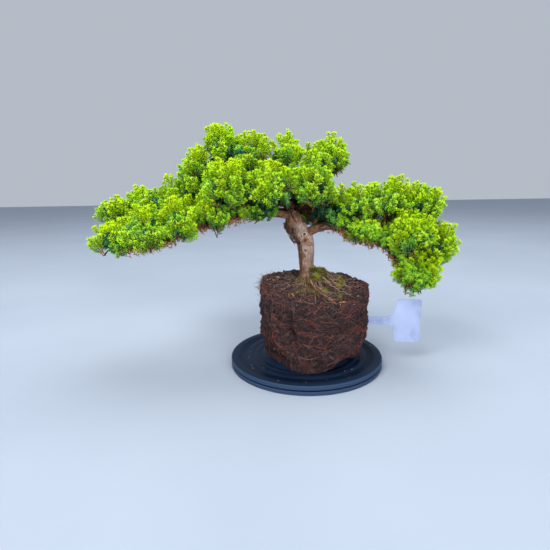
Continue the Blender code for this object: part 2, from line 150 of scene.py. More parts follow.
def add_node(material, kind, output, inputs=(), stops=(), **settings):
    """Adds a node with its inputs, settings and a ramp's (position, hex colour) stops; gives one output."""
    node = material.node_tree.nodes.new(kind)
    for name, value in settings.items():
        setattr(node, name, value)
    fill(node, dict(inputs))
    if stops:
        elements = node.color_ramp.elements
        while len(elements) < len(stops):
            elements.new(0.5)
        for element, (position, code) in zip(elements, stops):
            element.position = position
            element.color = (*linear(code), 1)
    return node.outputs[output]


def new_material(name, **constants):
    """A material and its Principled shader, with the shader's constant inputs set."""
    material = bpy.data.materials.new(name)
    material.use_nodes = True
    shader = material.node_tree.nodes["Principled BSDF"]
    fill(shader, {key.replace("_", " "): value for key, value in constants.items()})
    return material, shader


def graded_material(name, value, stops, **constants):
    """A material whose colour follows one named value of the mesh."""
    material, shader = new_material(name, **constants)
    amount = add_node(material, "ShaderNodeAttribute", "Fac", attribute_name=value)
    fill(shader, {"Base Color": add_node(material, "ShaderNodeValToRGB", "Color", {"Fac": amount}, stops)})
    return material


def cloudy_material(name, scale, stops, **constants):
    """A material whose colour wavers softly, with about that many clouds to a metre."""
    material, shader = new_material(name, **constants)
    place = add_node(material, "ShaderNodeTexCoord", "Object")
    cloud = add_node(material, "ShaderNodeTexNoise", "Fac", {"Vector": place, "Scale": scale, "Detail": 3.0})
    fill(shader, {"Base Color": add_node(material, "ShaderNodeValToRGB", "Color", {"Fac": cloud}, stops)})
    return material


def laminate_floor():
    """Matt pale laminate: even, with the faintest cloudiness."""
    return cloudy_material("pale_laminate", 4.0, ((0.3, "#a4aebd"), (0.7, "#aab4c2")),
                           Roughness=0.8, Specular_IOR_Level=0.2)


def label_plastic():
    """White polystyrene plant label: satin, slightly blue, with faint dusty smears."""
    return cloudy_material("white_polystyrene", 48.0,
                           ((0.28, "#8797bd"), (0.44, "#9facd0"), (0.6, "#a6b3d6"), (0.8, "#adb9da")),
                           Roughness=0.38, IOR=1.55)


def cage_nylon():
    """Moulded nylon for the ball cage: milky, faintly mottled."""
    return cloudy_material("cage_nylon", 160.0, ((0.3, "#c9c7bb"), (0.7, "#dddbd0")), Roughness=0.5)


def dry_growth():
    """Dead juniper: brown bare twiglets to straw-orange dry needles. kind picks which."""
    return graded_material("dry_juniper", "kind", (
        (0.0, "#4e2c1a"), (0.3, "#8c4f28"), (0.55, "#b5733a"), (0.8, "#cf9c58"), (1.0, "#dcc48e")),
        Roughness=0.8)


def root_fibre():
    """Fine roots: most dark brown, some new ones orange-red, a few pale and dry. kind picks which."""
    return graded_material("fine_roots", "kind", (
        (0.00, "#171011"), (0.30, "#35262a"), (0.55, "#4e3739"), (0.72, "#775350"), (0.82, "#923f2f"),
        (0.89, "#b3593c"), (0.94, "#92766c"), (1.00, "#bcaa9a")), Roughness=0.8)


def soil_litter():
    """Loose bits on the soil: black peat, bark chips, straw and white perlite. kind picks which."""
    return graded_material("soil_litter", "kind", (
        (0.0, "#100a0a"), (0.35, "#261a19"), (0.55, "#52372c"), (0.70, "#a4703c"), (0.80, "#b9a36a"),
        (0.90, "#b5ab98"), (1.0, "#c6c0b4")), Roughness=0.9)


def cushion_moss():
    """Moss: short yellow-green leaves, brown and dry low down. age runs from 0 below to 1 at the tips."""
    return graded_material("cushion_moss", "age", (
        (0.0, "#1e160f"), (0.3, "#4c431a"), (0.6, "#7d7c26"), (0.85, "#a0a634"), (1.0, "#c2c653")),
        Roughness=0.9)


def juniper_growth():
    """Juniper shoots: brown twigs, then blue-green older needles, then yellow-green new tips.

    age runs from 0 at the oldest wood to 1 at the newest needle's tip; the second value is painted light: it
    mixes the lit colours with darker, bluer painted-shade ones.
    """
    material, shader = new_material("juniper_growth", Roughness=0.62, IOR=1.45, Specular_IOR_Level=0.1)
    age = add_node(material, "ShaderNodeAttribute", "Fac", attribute_name="age")
    painted_sunlight = add_node(material, "ShaderNodeAttribute", "Fac", attribute_name="painted_sunlight")
    # Painted light: a lit ramp, and below it a painted-shade copy, darker and bluer, for shoots underneath,
    # between clusters and inside.
    painted_sunlit_ramp = add_node(material, "ShaderNodeValToRGB", "Color", {"Fac": age}, (
        (0.00, "#2a1a10"), (0.07, "#4a2d18"), (0.13, "#a8792a"), (0.19, "#bcae3c"), (0.21, "#1b3b1c"),
        (0.32, "#41711f"), (0.43, "#7dac1b"), (0.56, "#9bc90e"), (0.72, "#abd40a"), (0.86, "#b5da0e"),
        (1.00, "#c4e01a")))
    painted_shaded_ramp = add_node(material, "ShaderNodeValToRGB", "Color", {"Fac": age}, (
        (0.00, "#22150d"), (0.07, "#3c2415"), (0.13, "#8a5c28"), (0.19, "#98923c"), (0.21, "#143428"),
        (0.32, "#3a7a5e"), (0.43, "#66b05a"), (0.56, "#8ed042"), (0.72, "#a2dc38"), (0.86, "#b0e442"),
        (1.00, "#c6ec66")))
    colour = add_node(material, "ShaderNodeMix", "Result", {"Factor": painted_sunlight, "A": painted_shaded_ramp, "B": painted_sunlit_ramp},
                      data_type="RGBA")
    fill(shader, {"Base Color": colour})
    return material


def juniper_bark():
    """Juniper bark: pinkish grey-brown, fibrous along the limb, darker in its furrows and where it flakes;
    the furrows' darkness and the ridges' paleness are partly its own colour, partly painted shade and
    highlight.

    furrow runs from 0 deep in a furrow to 1 on a ridge; peel is 1 where old bark has come off smooth wood.
    """
    material, shader = new_material("juniper_bark", Roughness=0.85)
    furrow = add_node(material, "ShaderNodeAttribute", "Fac", attribute_name="furrow")
    peel = add_node(material, "ShaderNodeAttribute", "Fac", attribute_name="peel")
    place = add_node(material, "ShaderNodeTexCoord", "Object")
    stretched = add_node(material, "ShaderNodeMapping", "Vector",
                         {"Vector": place, "Scale": (1.0, 1.0, 0.22)})
    fibre = add_node(material, "ShaderNodeTexNoise", "Fac",
                     {"Vector": stretched, "Scale": 900.0, "Detail": 6.0, "Roughness": 0.65})
    patch = add_node(material, "ShaderNodeTexNoise", "Fac", {"Vector": place, "Scale": 110.0, "Detail": 4.0})
    # Partly painted shade and highlight: near black deep in a furrow or a knot's hole, near white on a ridge
    # or a knot's lip, following the relief.
    bark_with_furrow_shade = add_node(material, "ShaderNodeValToRGB", "Color", {"Fac": furrow}, (
        (0.0, "#2a1910"), (0.35, "#6c4a34"), (0.65, "#8e6a4e"), (0.9, "#b8977a"), (1.0, "#efe6d8")))
    reddish = add_node(material, "ShaderNodeMix", "Result",
                       {"Factor": patch, "A": bark_with_furrow_shade, "B": (*linear("#84604c"), 1)},
                       data_type="RGBA", blend_type="SOFT_LIGHT")
    smooth_wood = add_node(material, "ShaderNodeValToRGB", "Color", {"Fac": fibre}, (
        (0.30, "#8c715c"), (0.50, "#b0968a"), (0.70, "#cbb9ad")))
    both = add_node(material, "ShaderNodeMix", "Result", {"Factor": peel, "A": reddish, "B": smooth_wood},
                    data_type="RGBA")
    streaks = add_node(material, "ShaderNodeValToRGB", "Color", {"Fac": fibre},
                       ((0.35, "#8f8f8f"), (0.65, "#ffffff")))
    colour = add_node(material, "ShaderNodeMix", "Result", {"Factor": 0.55, "A": both, "B": streaks},
                      data_type="RGBA", blend_type="MULTIPLY")
    bump = add_node(material, "ShaderNodeBump", "Normal",
                    {"Strength": 0.6, "Distance": 0.3 * MM, "Height": fibre})
    fill(shader, {"Base Color": colour, "Normal": bump})
    return material


def potting_mix():
    """Damp peaty potting mix: near black crumbs with brown fibres and a reddish cast."""
    material, shader = new_material("potting_mix", Roughness=0.95)
    place = add_node(material, "ShaderNodeTexCoord", "Object")
    crumbs = add_node(material, "ShaderNodeTexNoise", "Fac",
                      {"Vector": place, "Scale": 420.0, "Detail": 7.0, "Roughness": 0.7})
    clods = add_node(material, "ShaderNodeTexNoise", "Fac", {"Vector": place, "Scale": 60.0, "Detail": 3.0})
    dark = add_node(material, "ShaderNodeValToRGB", "Color", {"Fac": crumbs}, (
        (0.32, "#0a0607"), (0.50, "#1d1415"), (0.62, "#382829"), (0.75, "#54403c")))
    colour = add_node(material, "ShaderNodeMix", "Result",
                      {"Factor": clods, "A": dark, "B": (*linear("#553a38"), 1)},
                      data_type="RGBA", blend_type="SOFT_LIGHT")
    bump = add_node(material, "ShaderNodeBump", "Normal",
                    {"Strength": 0.8, "Distance": 0.6 * MM, "Height": crumbs})
    fill(shader, {"Base Color": colour, "Normal": bump})
    return material


def moulded_disc():
    """Moulded black ABS: fine grain, satin, its rim painted lighter as a painted highlight, and a few specks
    of dust.
    """
    material, shader = new_material("moulded_black_abs", IOR=1.53, Specular_IOR_Level=0.05)
    place = add_node(material, "ShaderNodeTexCoord", "Object")
    grain = add_node(material, "ShaderNodeTexNoise", "Fac", {"Vector": place, "Scale": 1400.0, "Detail": 2.0})
    cloud = add_node(material, "ShaderNodeTexNoise", "Fac", {"Vector": place, "Scale": 28.0, "Detail": 5.0})
    dust = add_node(material, "ShaderNodeTexVoronoi", "Distance", {"Vector": place, "Scale": 260.0})
    speck = add_node(material, "ShaderNodeValToRGB", "Color", {"Fac": dust},
                     ((0.06, "#55606e"), (0.11, "#000000")))
    # Painted highlight: the outer rim is mixed towards a lighter grey-blue.
    rim_highlight = add_node(material, "ShaderNodeAttribute", "Fac", attribute_name="rim_highlight")
    flat = add_node(material, "ShaderNodeValToRGB", "Color", {"Fac": cloud},
                    ((0.35, "#121f33"), (0.65, "#18263c")))
    base = add_node(material, "ShaderNodeMix", "Result",
                    {"Factor": rim_highlight, "A": flat, "B": (*linear("#31435d"), 1)}, data_type="RGBA")
    few = add_node(material, "ShaderNodeTexNoise", "Fac", {"Vector": place, "Scale": 90.0})
    where = add_node(material, "ShaderNodeValToRGB", "Color", {"Fac": few},
                     ((0.56, "#000000"), (0.62, "#ffffff")))
    sparse = add_node(material, "ShaderNodeMix", "Result", {"Factor": 1.0, "A": speck, "B": where},
                      data_type="RGBA", blend_type="MULTIPLY")
    colour = add_node(material, "ShaderNodeMix", "Result", {"Factor": 1.0, "A": base, "B": sparse},
                      data_type="RGBA", blend_type="ADD")
    rough = add_node(material, "ShaderNodeValToRGB", "Color", {"Fac": cloud},
                     ((0.3, "#a8a8a8"), (0.7, "#bcbcbc")))
    bump = add_node(material, "ShaderNodeBump", "Normal",
                    {"Strength": 0.25, "Distance": 0.05 * MM, "Height": grain})
    fill(shader, {"Base Color": colour, "Roughness": rough, "Normal": bump})
    return material


def ground_steel():
    """Ground bearing steel: bright, with fine turning marks round it."""
    material, shader = new_material("ground_steel", Metallic=1.0)
    place = add_node(material, "ShaderNodeTexCoord", "Object")
    marks = add_node(material, "ShaderNodeTexNoise", "Fac", {"Vector": place, "Scale": 2500.0, "Detail": 2.0})
    for part, stops in (("Base Color", ((0.3, "#b4b6b8"), (0.7, "#cfd0d2"))),
                        ("Roughness", ((0.3, "#303030"), (0.7, "#4a4a4a")))):
        fill(shader, {part: add_node(material, "ShaderNodeValToRGB", "Color", {"Fac": marks}, stops)})
    return material


# ---------------------------------------------------------------- mesh tools

THIRDS = (0, math.tau / 3, 2 * math.tau / 3)


def unit(vectors):
    return vectors / np.maximum(np.linalg.norm(vectors, axis=-1, keepdims=True), 1e-12)


def across(directions, rng):
    """A random direction at right angles to each one."""
    other = rng.normal(size=directions.shape)
    return unit(other - directions * (other * directions).sum(-1, keepdims=True))


def join_meshes(meshes):
    """Joins (vertices, triangles, value, ...) tuples into one."""
    offsets = np.cumsum([0] + [len(m[0]) for m in meshes[:-1]])
    triangles = np.concatenate([m[1] + offset for m, offset in zip(meshes, offsets)])
    rest = [np.concatenate([m[k] for m in meshes]) for k in range(2, len(meshes[0]))]
    return (np.concatenate([m[0] for m in meshes]), triangles, *rest)


def repeat_faces(faces, count, stride):
    """One small mesh's faces for each of its copies, whose vertices follow each other by the stride."""
    return (faces[None] + stride * np.arange(count)[:, None, None]).reshape(-1, 3)


def running_length(line):
    """How far along a line each of its points lies."""
    return np.concatenate([[0], np.cumsum(np.linalg.norm(np.diff(line, axis=0), axis=1))])


def spikes(bases, tips, widths, rng):
    """Closed three-sided spikes, four vertices each: base corners, then tip."""
    along = unit(tips - bases)
    side = across(along, rng)
    other = np.cross(along, side)
    corners = [bases + (side * math.cos(a) + other * math.sin(a)) * widths[:, None] / 2
               for a in THIRDS]
    vertices = np.stack([*corners, tips], axis=1)
    faces = np.array(((0, 1, 3), (1, 2, 3), (2, 0, 3), (2, 1, 0)))
    return vertices.reshape(-1, 3), repeat_faces(faces, len(bases), 4)


def tubes(paths, radii, sides, rng):
    """Closed tubes along many paths at once: paths is (count, steps, 3) and radii (count, steps)."""
    count, steps = radii.shape
    along = unit(np.gradient(paths, axis=1))
    side = across(along[:, 0], rng)
    rings = []
    angles = math.tau * np.arange(sides) / sides
    for i in range(steps):
        side = unit(side - along[:, i] * (side * along[:, i]).sum(-1, keepdims=True))
        other = np.cross(along[:, i], side)
        ring = side[:, None] * np.cos(angles)[None, :, None] + other[:, None] * np.sin(angles)[None, :, None]
        rings.append(paths[:, i, None] + ring * radii[:, i, None, None])
    vertices = np.stack(rings, axis=1)
    lower = np.arange(steps - 1)[:, None] * sides + np.arange(sides)[None]
    turned = np.arange(steps - 1)[:, None] * sides + (np.arange(sides)[None] + 1) % sides
    quads = np.stack([lower, turned, turned + sides, lower + sides], axis=-1).reshape(-1, 4)
    faces = np.concatenate([quads[:, (0, 1, 2)], quads[:, (0, 2, 3)]])
    fan = np.array([(0, i + 1, i) for i in range(1, sides - 1)])
    last = (steps - 1) * sides
    faces = np.concatenate([faces, fan, fan[:, ::-1] + last])
    return vertices.reshape(-1, 3), repeat_faces(faces, count, steps * sides)


def along_tubes(values, sides):
    """One value per path point, as one per vertex of tubes()."""
    return np.repeat(values.reshape(-1), sides)


def smooth_path(points, step):
    """Points every step or so along a Catmull-Rom curve, with how far along each one is."""
    points = np.asarray(points, dtype=float)
    padded = np.concatenate([2 * points[:1] - points[1:2], points, 2 * points[-1:] - points[-2:-1]])
    result = []
    marks = []
    for i in range(len(points) - 1):
        a, b, c, d = padded[i:i + 4]
        count = max(2, int(np.linalg.norm(c - b) / step))
        for t in np.arange(count) / count:
            result.append(0.5 * (2 * b + (c - a) * t + (2 * a - 5 * b + 4 * c - d) * t * t
                                 + (3 * b - a - 3 * c + d) * t ** 3))
            marks.append(i + t)
    result.append(points[-1])
    marks.append(len(points) - 1)
    return np.array(result), np.array(marks)


def bake_rows(values):
    """A spread-out second coordinate, so that faces of one value still have some width."""
    return 0.5 + 0.4 * np.sin(np.arange(len(values)) * 1.7)


def make_piece(name, shape, material, value_names=(), nodes=(), body="turning", rows=None):
    """A piece from vertices, triangles and one named value per vertex for each value its material reads.

    A piece graded by age or kind gets a map to be baked on, with that value across it and rows up it.
    """
    vertices, triangles, *values = shape
    mesh = bpy.data.meshes.new(name)
    mesh.vertices.add(len(vertices))
    mesh.vertices.foreach_set("co", np.ascontiguousarray(vertices, dtype=np.float32).ravel())
    mesh.loops.add(3 * len(triangles))
    mesh.loops.foreach_set("vertex_index", np.ascontiguousarray(triangles, dtype=np.int32).ravel())
    mesh.polygons.add(len(triangles))
    mesh.polygons.foreach_set("loop_start", np.arange(0, 3 * len(triangles), 3, dtype=np.int32))
    mesh.polygons.foreach_set("use_smooth", np.full(len(triangles), True))
    mesh.update(calc_edges=True)
    for key, value in zip(value_names, values):
        layer = mesh.attributes.new(key, "FLOAT", "POINT")
        layer.data.foreach_set("value", np.ascontiguousarray(value, dtype=np.float32))
    if value_names and value_names[0] in ("age", "kind"):
        corners = np.ascontiguousarray(triangles).ravel()
        rows = bake_rows(values[0]) if rows is None else rows
        layer = mesh.uv_layers.new(name="OFBake", do_init=False)
        spread = np.stack([values[0][corners], rows[corners]], axis=-1)
        layer.data.foreach_set("uv", np.clip(spread, 0.002, 0.998).astype(np.float32).ravel())
    return add_piece(name, mesh, material, nodes, body)


def add_piece(name, mesh, material, nodes, body="turning"):
    """Puts a mesh in the scene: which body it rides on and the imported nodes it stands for."""
    mesh.materials.append(material)
    piece = bpy.data.objects.new(name, mesh)
    bpy.context.collection.objects.link(piece)
    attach(piece, body)
    if nodes:
        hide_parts(*nodes)
    return piece


def node_mesh(node):
    """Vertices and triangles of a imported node, in metres."""
    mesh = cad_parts[node].data
    mesh.calc_loop_triangles()
    vertices = np.empty(3 * len(mesh.vertices), dtype=np.float32)
    mesh.vertices.foreach_get("co", vertices)
    triangles = np.empty(3 * len(mesh.loop_triangles), dtype=np.int32)
    mesh.loop_triangles.foreach_get("vertices", triangles)
    world = np.array(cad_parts[node].matrix_world)
    vertices = vertices.reshape(-1, 3).astype(float)
    return vertices @ world[:3, :3].T + world[:3, 3], triangles.reshape(-1, 3)


def bumps(points, scale, seed=0.0):
    """Smooth noise from about -1 to 1 at each point, with features of that scale."""
    shift = Vector((seed * 3.7, seed * 1.9, seed * 5.3))
    return np.array([noise.noise(Vector(p) / scale + shift) for p in points]) * 1.6


# ---------------------------------------------------------------- limbs

FOOT = np.array((0.0, 0.0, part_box("trunk")[0][2] + 30 * MM))

# Each limb from the trunk's foot in millimetres, with its radius at both ends.
# The table gives them as (foot's radius, tip's radius, points of the centre line).
LIMBS = {
    "trunk": (10.0, 7.0, ((1, 0, -30), (1, 0, -10), (1, 0, 0), (2, 0, 12), (1, 0, 26), (1, 0, 40),
                          (-1, 0, 52), (-6, 0, 61), (-11, 0, 70), (-14, 0, 78), (-16, 1, 85), (-18, 2, 90))),
    "crown_branch": (7.0, 2.0, ((-18, 2, 90), (-27, 6, 104), (-44, 10, 121), (-69, 10, 140),
                                (-92, 10, 158), (-106, 10, 172))),
    "left_low_branch": (5.4, 2.0, (
        (-13, -1, 75), (-22, -3, 84), (-45, -7, 87), (-72, -12, 86), (-100, -18, 82), (-120, -23, 76),
        (-142, -28, 72), (-160, -32, 62), (-182, -35, 54), (-205, -37, 50), (-226, -37, 53))),
    "left_high_branch": (4.2, 1.7, (
        (-28, 7, 105), (-42, 16, 102), (-62, 24, 102), (-92, 31, 103), (-132, 36, 102), (-167, 38, 97),
        (-205, 38, 91), (-236, 36, 88))),
    "crown_right_branch": (3.8, 1.5, (
        (-40, 10, 117), (-26, 7, 117), (-10, 3, 120), (8, 0, 128), (24, -2, 140), (33, -2, 151))),
    "crown_rear_branch": (3.6, 1.5, (
        (-50, 10, 126), (-54, 24, 128), (-56, 40, 130), (-60, 56, 133), (-64, 66, 136))),
    "right_branch": (6.4, 1.6, (
        (-6, 0, 57), (8, -4, 65), (18, -8, 69), (27, -11, 70.5), (37, -14, 68), (50, -17, 62), (64, -21, 57),
        (80, -25, 52), (94, -28, 46), (104, -30, 34), (114, -31, 18), (124, -32, 4))),
    "right_rear_branch": (3.2, 1.5, (
        (26, -10, 69), (32, 4, 73), (44, 16, 77), (66, 25, 82), (96, 31, 86), (128, 33, 82), (156, 32, 68),
        (172, 26, 50))),
}
TRUNK_SHARES = (1.0, 0.95, 0.92, 0.86, 0.90, 1.0, 1.08, 1.12, 1.10, 1.05, 0.92, 0.80)
# Each knot's place from the foot and its radius in millimetres, how pale its lip is, and how deep its middle
# lies: below 0 it has healed over and stands out. The middle is painted darker as deep as it lies and lighter
# where it stands out, painted shade and highlight; the pale lip is partly callus wood, partly painted
# highlight.
KNOTS = (((-2.5, -10.5, 61.0), 2.8, 0.42, 0.42), ((4.0, -9.5, 48.5), 2.2, 0.20, -0.38),
         ((-1.5, -10.5, 53.0), 3.2, 0.20, 0.32), ((-1.0, -9.5, 40.5), 1.4, 0.0, 0.35),
         ((-1.5, -9.5, 33.0), 1.2, 0.0, 0.35))


TRUNK_STEP, LIMB_STEP = 0.6 * MM, 1.2 * MM
TRUNK_SIDES, LIMB_SIDES = 96, 28
ROUGH_FLAKES, SWELLING_FLAKES, LIMB_FLAKE_SHARE = 170, 120, 0.6


def limb_line(name):
    """A limb's smooth centre line in metres, and its radius at each point."""
    start, end, sketch = LIMBS[name]
    line, marks = smooth_path(FOOT + np.array(sketch, dtype=float) * MM,
                              TRUNK_STEP if name == "trunk" else LIMB_STEP)
    share = marks / marks[-1]
    radius = (start + (end - start) * share ** 0.8) * MM
    if name == "trunk":
        radius = np.interp(marks, np.arange(len(TRUNK_SHARES)), TRUNK_SHARES) * start * MM
    return line, radius


def bark_surface(name, line, radius, sides, seed):
    """A limb with fibrous furrows along it: vertices, triangles, furrow and peel."""
    rng = np.random.default_rng(seed)
    vertices, triangles = tubes(line[None], radius[None], sides, rng)
    centres = np.repeat(line, sides, axis=0)
    out = unit(vertices - centres)
    angle = np.tile(math.tau * np.arange(sides) / sides, len(line))
    run = np.repeat(running_length(line), sides)
    girth = np.repeat(radius, sides)
    wrapped = np.stack([np.cos(angle) * girth, np.sin(angle) * girth, run * 0.28], axis=1)
    coarse = bumps(wrapped, 3.2 * MM, seed)
    fine = bumps(wrapped, 1.1 * MM, seed + 5)
    lumps = bumps(np.stack([np.cos(angle) * girth, np.sin(angle) * girth, run], axis=1), 11 * MM, seed + 9)
    # The furrow value sets both the colour and the depth below: deeper bark is painted darker, partly painted
    # shade.
    furrow = np.clip(0.5 + 0.45 * (1 - 2 * np.abs(coarse)) * 0.6 + 0.25 * fine, 0, 0.88)
    peel = np.zeros(len(vertices))
    depth = (furrow - 0.6) * 0.16 * girth + lumps * 0.06 * girth
    if name == "trunk":
        height = (vertices[:, 2] - FOOT[2]) / MM
        front = out @ unit(np.array((0.62, -0.78, 0.0)))
        edge = 0.30 * bumps(vertices, 7 * MM, 40)
        peel = np.clip((front - 0.30 + edge) * 4, 0, 1) * (0.45 + 0.55 * np.clip((height - 26) / 18, 0, 1))
        peel = peel * np.clip((77 - height) / 6, 0, 1) * np.clip((height - 2) / 8, 0, 1)
        furrow = 0.45 + (furrow - 0.45) * np.clip(0.55 + height / 90, 0, 1)
        depth = depth * (1 - 0.75 * peel)
        ragged = 1 + 0.16 * bumps(vertices, 2.6 * MM, 15)
        for place, size, pale, hollow in KNOTS:
            away = np.linalg.norm(vertices - (FOOT + np.array(place) * MM), axis=1) / (size * MM) * ragged
            inside = np.exp(-(away / 1.35) ** 8)
            lip = np.exp(-((away - 0.92) / 0.40) ** 2)
            core = np.exp(-(away / 0.45) ** 4)
            depth = depth + (1.2 * lip - 3.5 * hollow * core) * MM * min(1.0, size / 3)
            # Painted shade and highlight: the middle darker by its depth, lighter where it stands out; the
            # raised lip paler.
            shade = 0.60 + pale * lip - hollow * core
            furrow = furrow * (1 - inside) + shade * inside
            peel = peel * (1 - inside)
        burr = np.clip(out @ unit(np.array((-1.0, -0.25, 0.0))), 0, 1) * np.exp(-((height - 68) / 8) ** 2)
        depth = depth + burr * (4.6 + 3.0 * bumps(vertices, 5 * MM, 12)) * MM
        furrow = furrow - 0.22 * burr
        peel = peel * (1 - np.clip(1.6 * burr, 0, 1))
        flare = np.exp(-np.clip(height, 0, None) / 7)
        depth = depth + flare * (1.5 + 2.2 * np.abs(np.sin(angle * 3.5 + 0.6))) * MM
    vertices = vertices + out * depth[:, None]
    return vertices, triangles, np.clip(furrow, 0, 1), peel


def bark_flakes(line, radius, count, sizes, rng, facing=None):
    """Thin curled scales of bark that stand off a limb."""
    where = rng.integers(2, len(line) - 2, count)
    along = unit(np.gradient(line, axis=0))[where]
    out = across(along, rng)
    if facing is not None:
        out = unit(out + 0.9 * facing - along * (along @ facing)[:, None])
    centre = line[where] + out * radius[where, None] * 1.05
    side = np.cross(along, out)
    length = rng.uniform(*sizes, count)[:, None] * MM
    width = length * rng.uniform(0.3, 0.55, (count, 1))
    meshes = []
    for i in range(count):
        grid = []
        for u in np.linspace(-0.5, 0.5, 4):
            for v in np.linspace(-0.5, 0.5, 3):
                lift = (0.06 + 0.42 * max(0, u + 0.15) ** 2 + 0.1 * v * v) * length[i]
                taper = 1 - 0.5 * abs(u)
                grid.append(centre[i] + along[i] * u * length[i] + side[i] * v * width[i] * taper
                            + out[i] * lift)
        grid = np.array(grid)
        thick = grid - out[i] * 0.35 * MM
        faces = []
        for a in range(3):
            for b in range(2):
                p = a * 3 + b
                faces += [(p, p + 3, p + 4), (p, p + 4, p + 1)]
        rim = [0, 1, 2, 5, 8, 11, 10, 9, 6, 3]
        back = [(c + 12, b + 12, a + 12) for a, b, c in faces]
        edge = []
        for a, b in zip(rim, rim[1:] + rim[:1]):
            edge += [(a, b, b + 12), (a, b + 12, a + 12)]
        shade = rng.uniform(0.22, 0.72)
        meshes.append((np.concatenate([grid, thick]), np.array(faces + back + edge),
                       np.full(24, shade), np.zeros(24)))
    return join_meshes(meshes)


def make_limbs(bark):
    """The trunk and branches in bark, with loose flakes; gives their centre lines and radii by name."""
    lines = {}
    for seed, name in enumerate(LIMBS):
        line, radius = limb_line(name)
        lines[name] = (line, radius)
        sides = TRUNK_SIDES if name == "trunk" else LIMB_SIDES
        rng = np.random.default_rng(100 + seed)
        wood = bark_surface(name, line, radius, sides, seed + 1)
        if name == "trunk":
            above_soil, swelling = slice(56, None), slice(144, 186)
            rough = bark_flakes(line[above_soil], radius[above_soil], ROUGH_FLAKES, (2.0, 5.0), rng,
                                np.array((-1.7, -0.1, 0)))
            loose = bark_flakes(line[swelling], radius[swelling] + 3.2 * MM, SWELLING_FLAKES, (2.0, 4.5),
                                rng, np.array((-1.8, -0.4, 0)))
            wood = join_meshes([wood, rough, loose])
        else:
            count = int(len(line) * LIMB_FLAKE_SHARE)
            wood = join_meshes([wood, bark_flakes(line, radius, count, (1.5, 4.0), rng)])
        make_piece(name + "_bark", wood, bark, ("furrow", "peel"), nodes=(name,))
    return lines


# ---------------------------------------------------------------- foliage

# A fan's height and the gap between its whorls, in millimetres.
FAN_HEIGHT = 34.0
WHORL_GAP = 1.6
TUFT_NEEDLES = 10
# Ages above this are needles, which start at the next one; below it are twigs.
TWIG_AGE = 0.19
NEEDLE_AGE = 0.22
FAN_SPACING = 13.0 * MM
CLUSTER_SPACING = 27 * MM
HOLLOW = FOOT + np.array((20, 0, 84)) * MM
TALL_FANS, SHORT_FANS = 10, 6
INNER_FANS = 13
HOLLOW_FANS = 26
# Inner fans: old needles, and a low light value that is painted shade.
OLD_AGE = 0.16
INNER_PAINTED_SUNLIGHT = 0.1
HEADS_TRIED = 900


def finger(points, thick, rng):
    """A twig clothed in whorls of three awl-shaped needles, with a tuft at its end; millimetres."""
    line, _ = smooth_path(points, 0.8)
    ways = unit(np.gradient(line, axis=0))
    run = running_length(line)
    length = run[-1]
    spots = np.arange(0.12 * length, length, WHORL_GAP)
    index = np.clip(np.searchsorted(run, spots), 0, len(line) - 1)
    share = np.repeat(spots / length, 3)
    centre = np.repeat(line[index], 3, axis=0)
    along = np.repeat(ways[index], 3, axis=0)
    first = np.repeat(across(ways[index], rng), 3, axis=0)
    other = np.cross(along, first)
    turn = np.tile(THIRDS, len(spots)) + rng.normal(0, 0.2, 3 * len(spots))
    out = first * np.cos(turn)[:, None] + other * np.sin(turn)[:, None]
    spread = np.radians(64 - 24 * share + rng.normal(0, 7, len(share)))[:, None]
    reach = ((6.0 - 1.2 * share) * rng.uniform(0.85, 1.12, len(share)))[:, None]
    bases = centre + out * 0.25
    tips = centre + (along * np.cos(spread) + out * np.sin(spread)) * reach
    tuft = TUFT_NEEDLES
    sides = across(np.repeat(ways[-1][None], tuft, axis=0), rng)
    spread = np.radians(rng.uniform(6, 66, tuft))[:, None]
    bases = np.concatenate([bases, line[-1] + sides * 0.3 - ways[-1] * 0.8])
    ends = line[-1] + (ways[-1] * np.cos(spread) + sides * np.sin(spread)) * rng.uniform(3.0, 4.8, (tuft, 1))
    tips = np.concatenate([tips, ends])
    share = np.concatenate([share, np.full(tuft, 1.0)])
    radii = np.linspace(thick, 0.3, len(points))
    return bases, tips, share, tubes(np.asarray(points)[None], radii[None], 4, rng)


def needles(bases, tips, widths, rng):
    """Closed needles, widest half way out: five vertices and six triangles each."""
    along = unit(tips - bases)
    side = across(along, rng)
    other = np.cross(along, side)
    middle = bases + (tips - bases) * 0.5
    corners = [middle + (side * math.cos(a) + other * math.sin(a) * 0.6) * widths[:, None] / 2
               for a in THIRDS]
    vertices = np.stack([bases, *corners, tips], axis=1)
    faces = np.array(((0, 2, 1), (0, 3, 2), (0, 1, 3), (1, 2, 4), (2, 3, 4), (3, 1, 4)))
    return vertices.reshape(-1, 3), repeat_faces(faces, len(bases), 5)


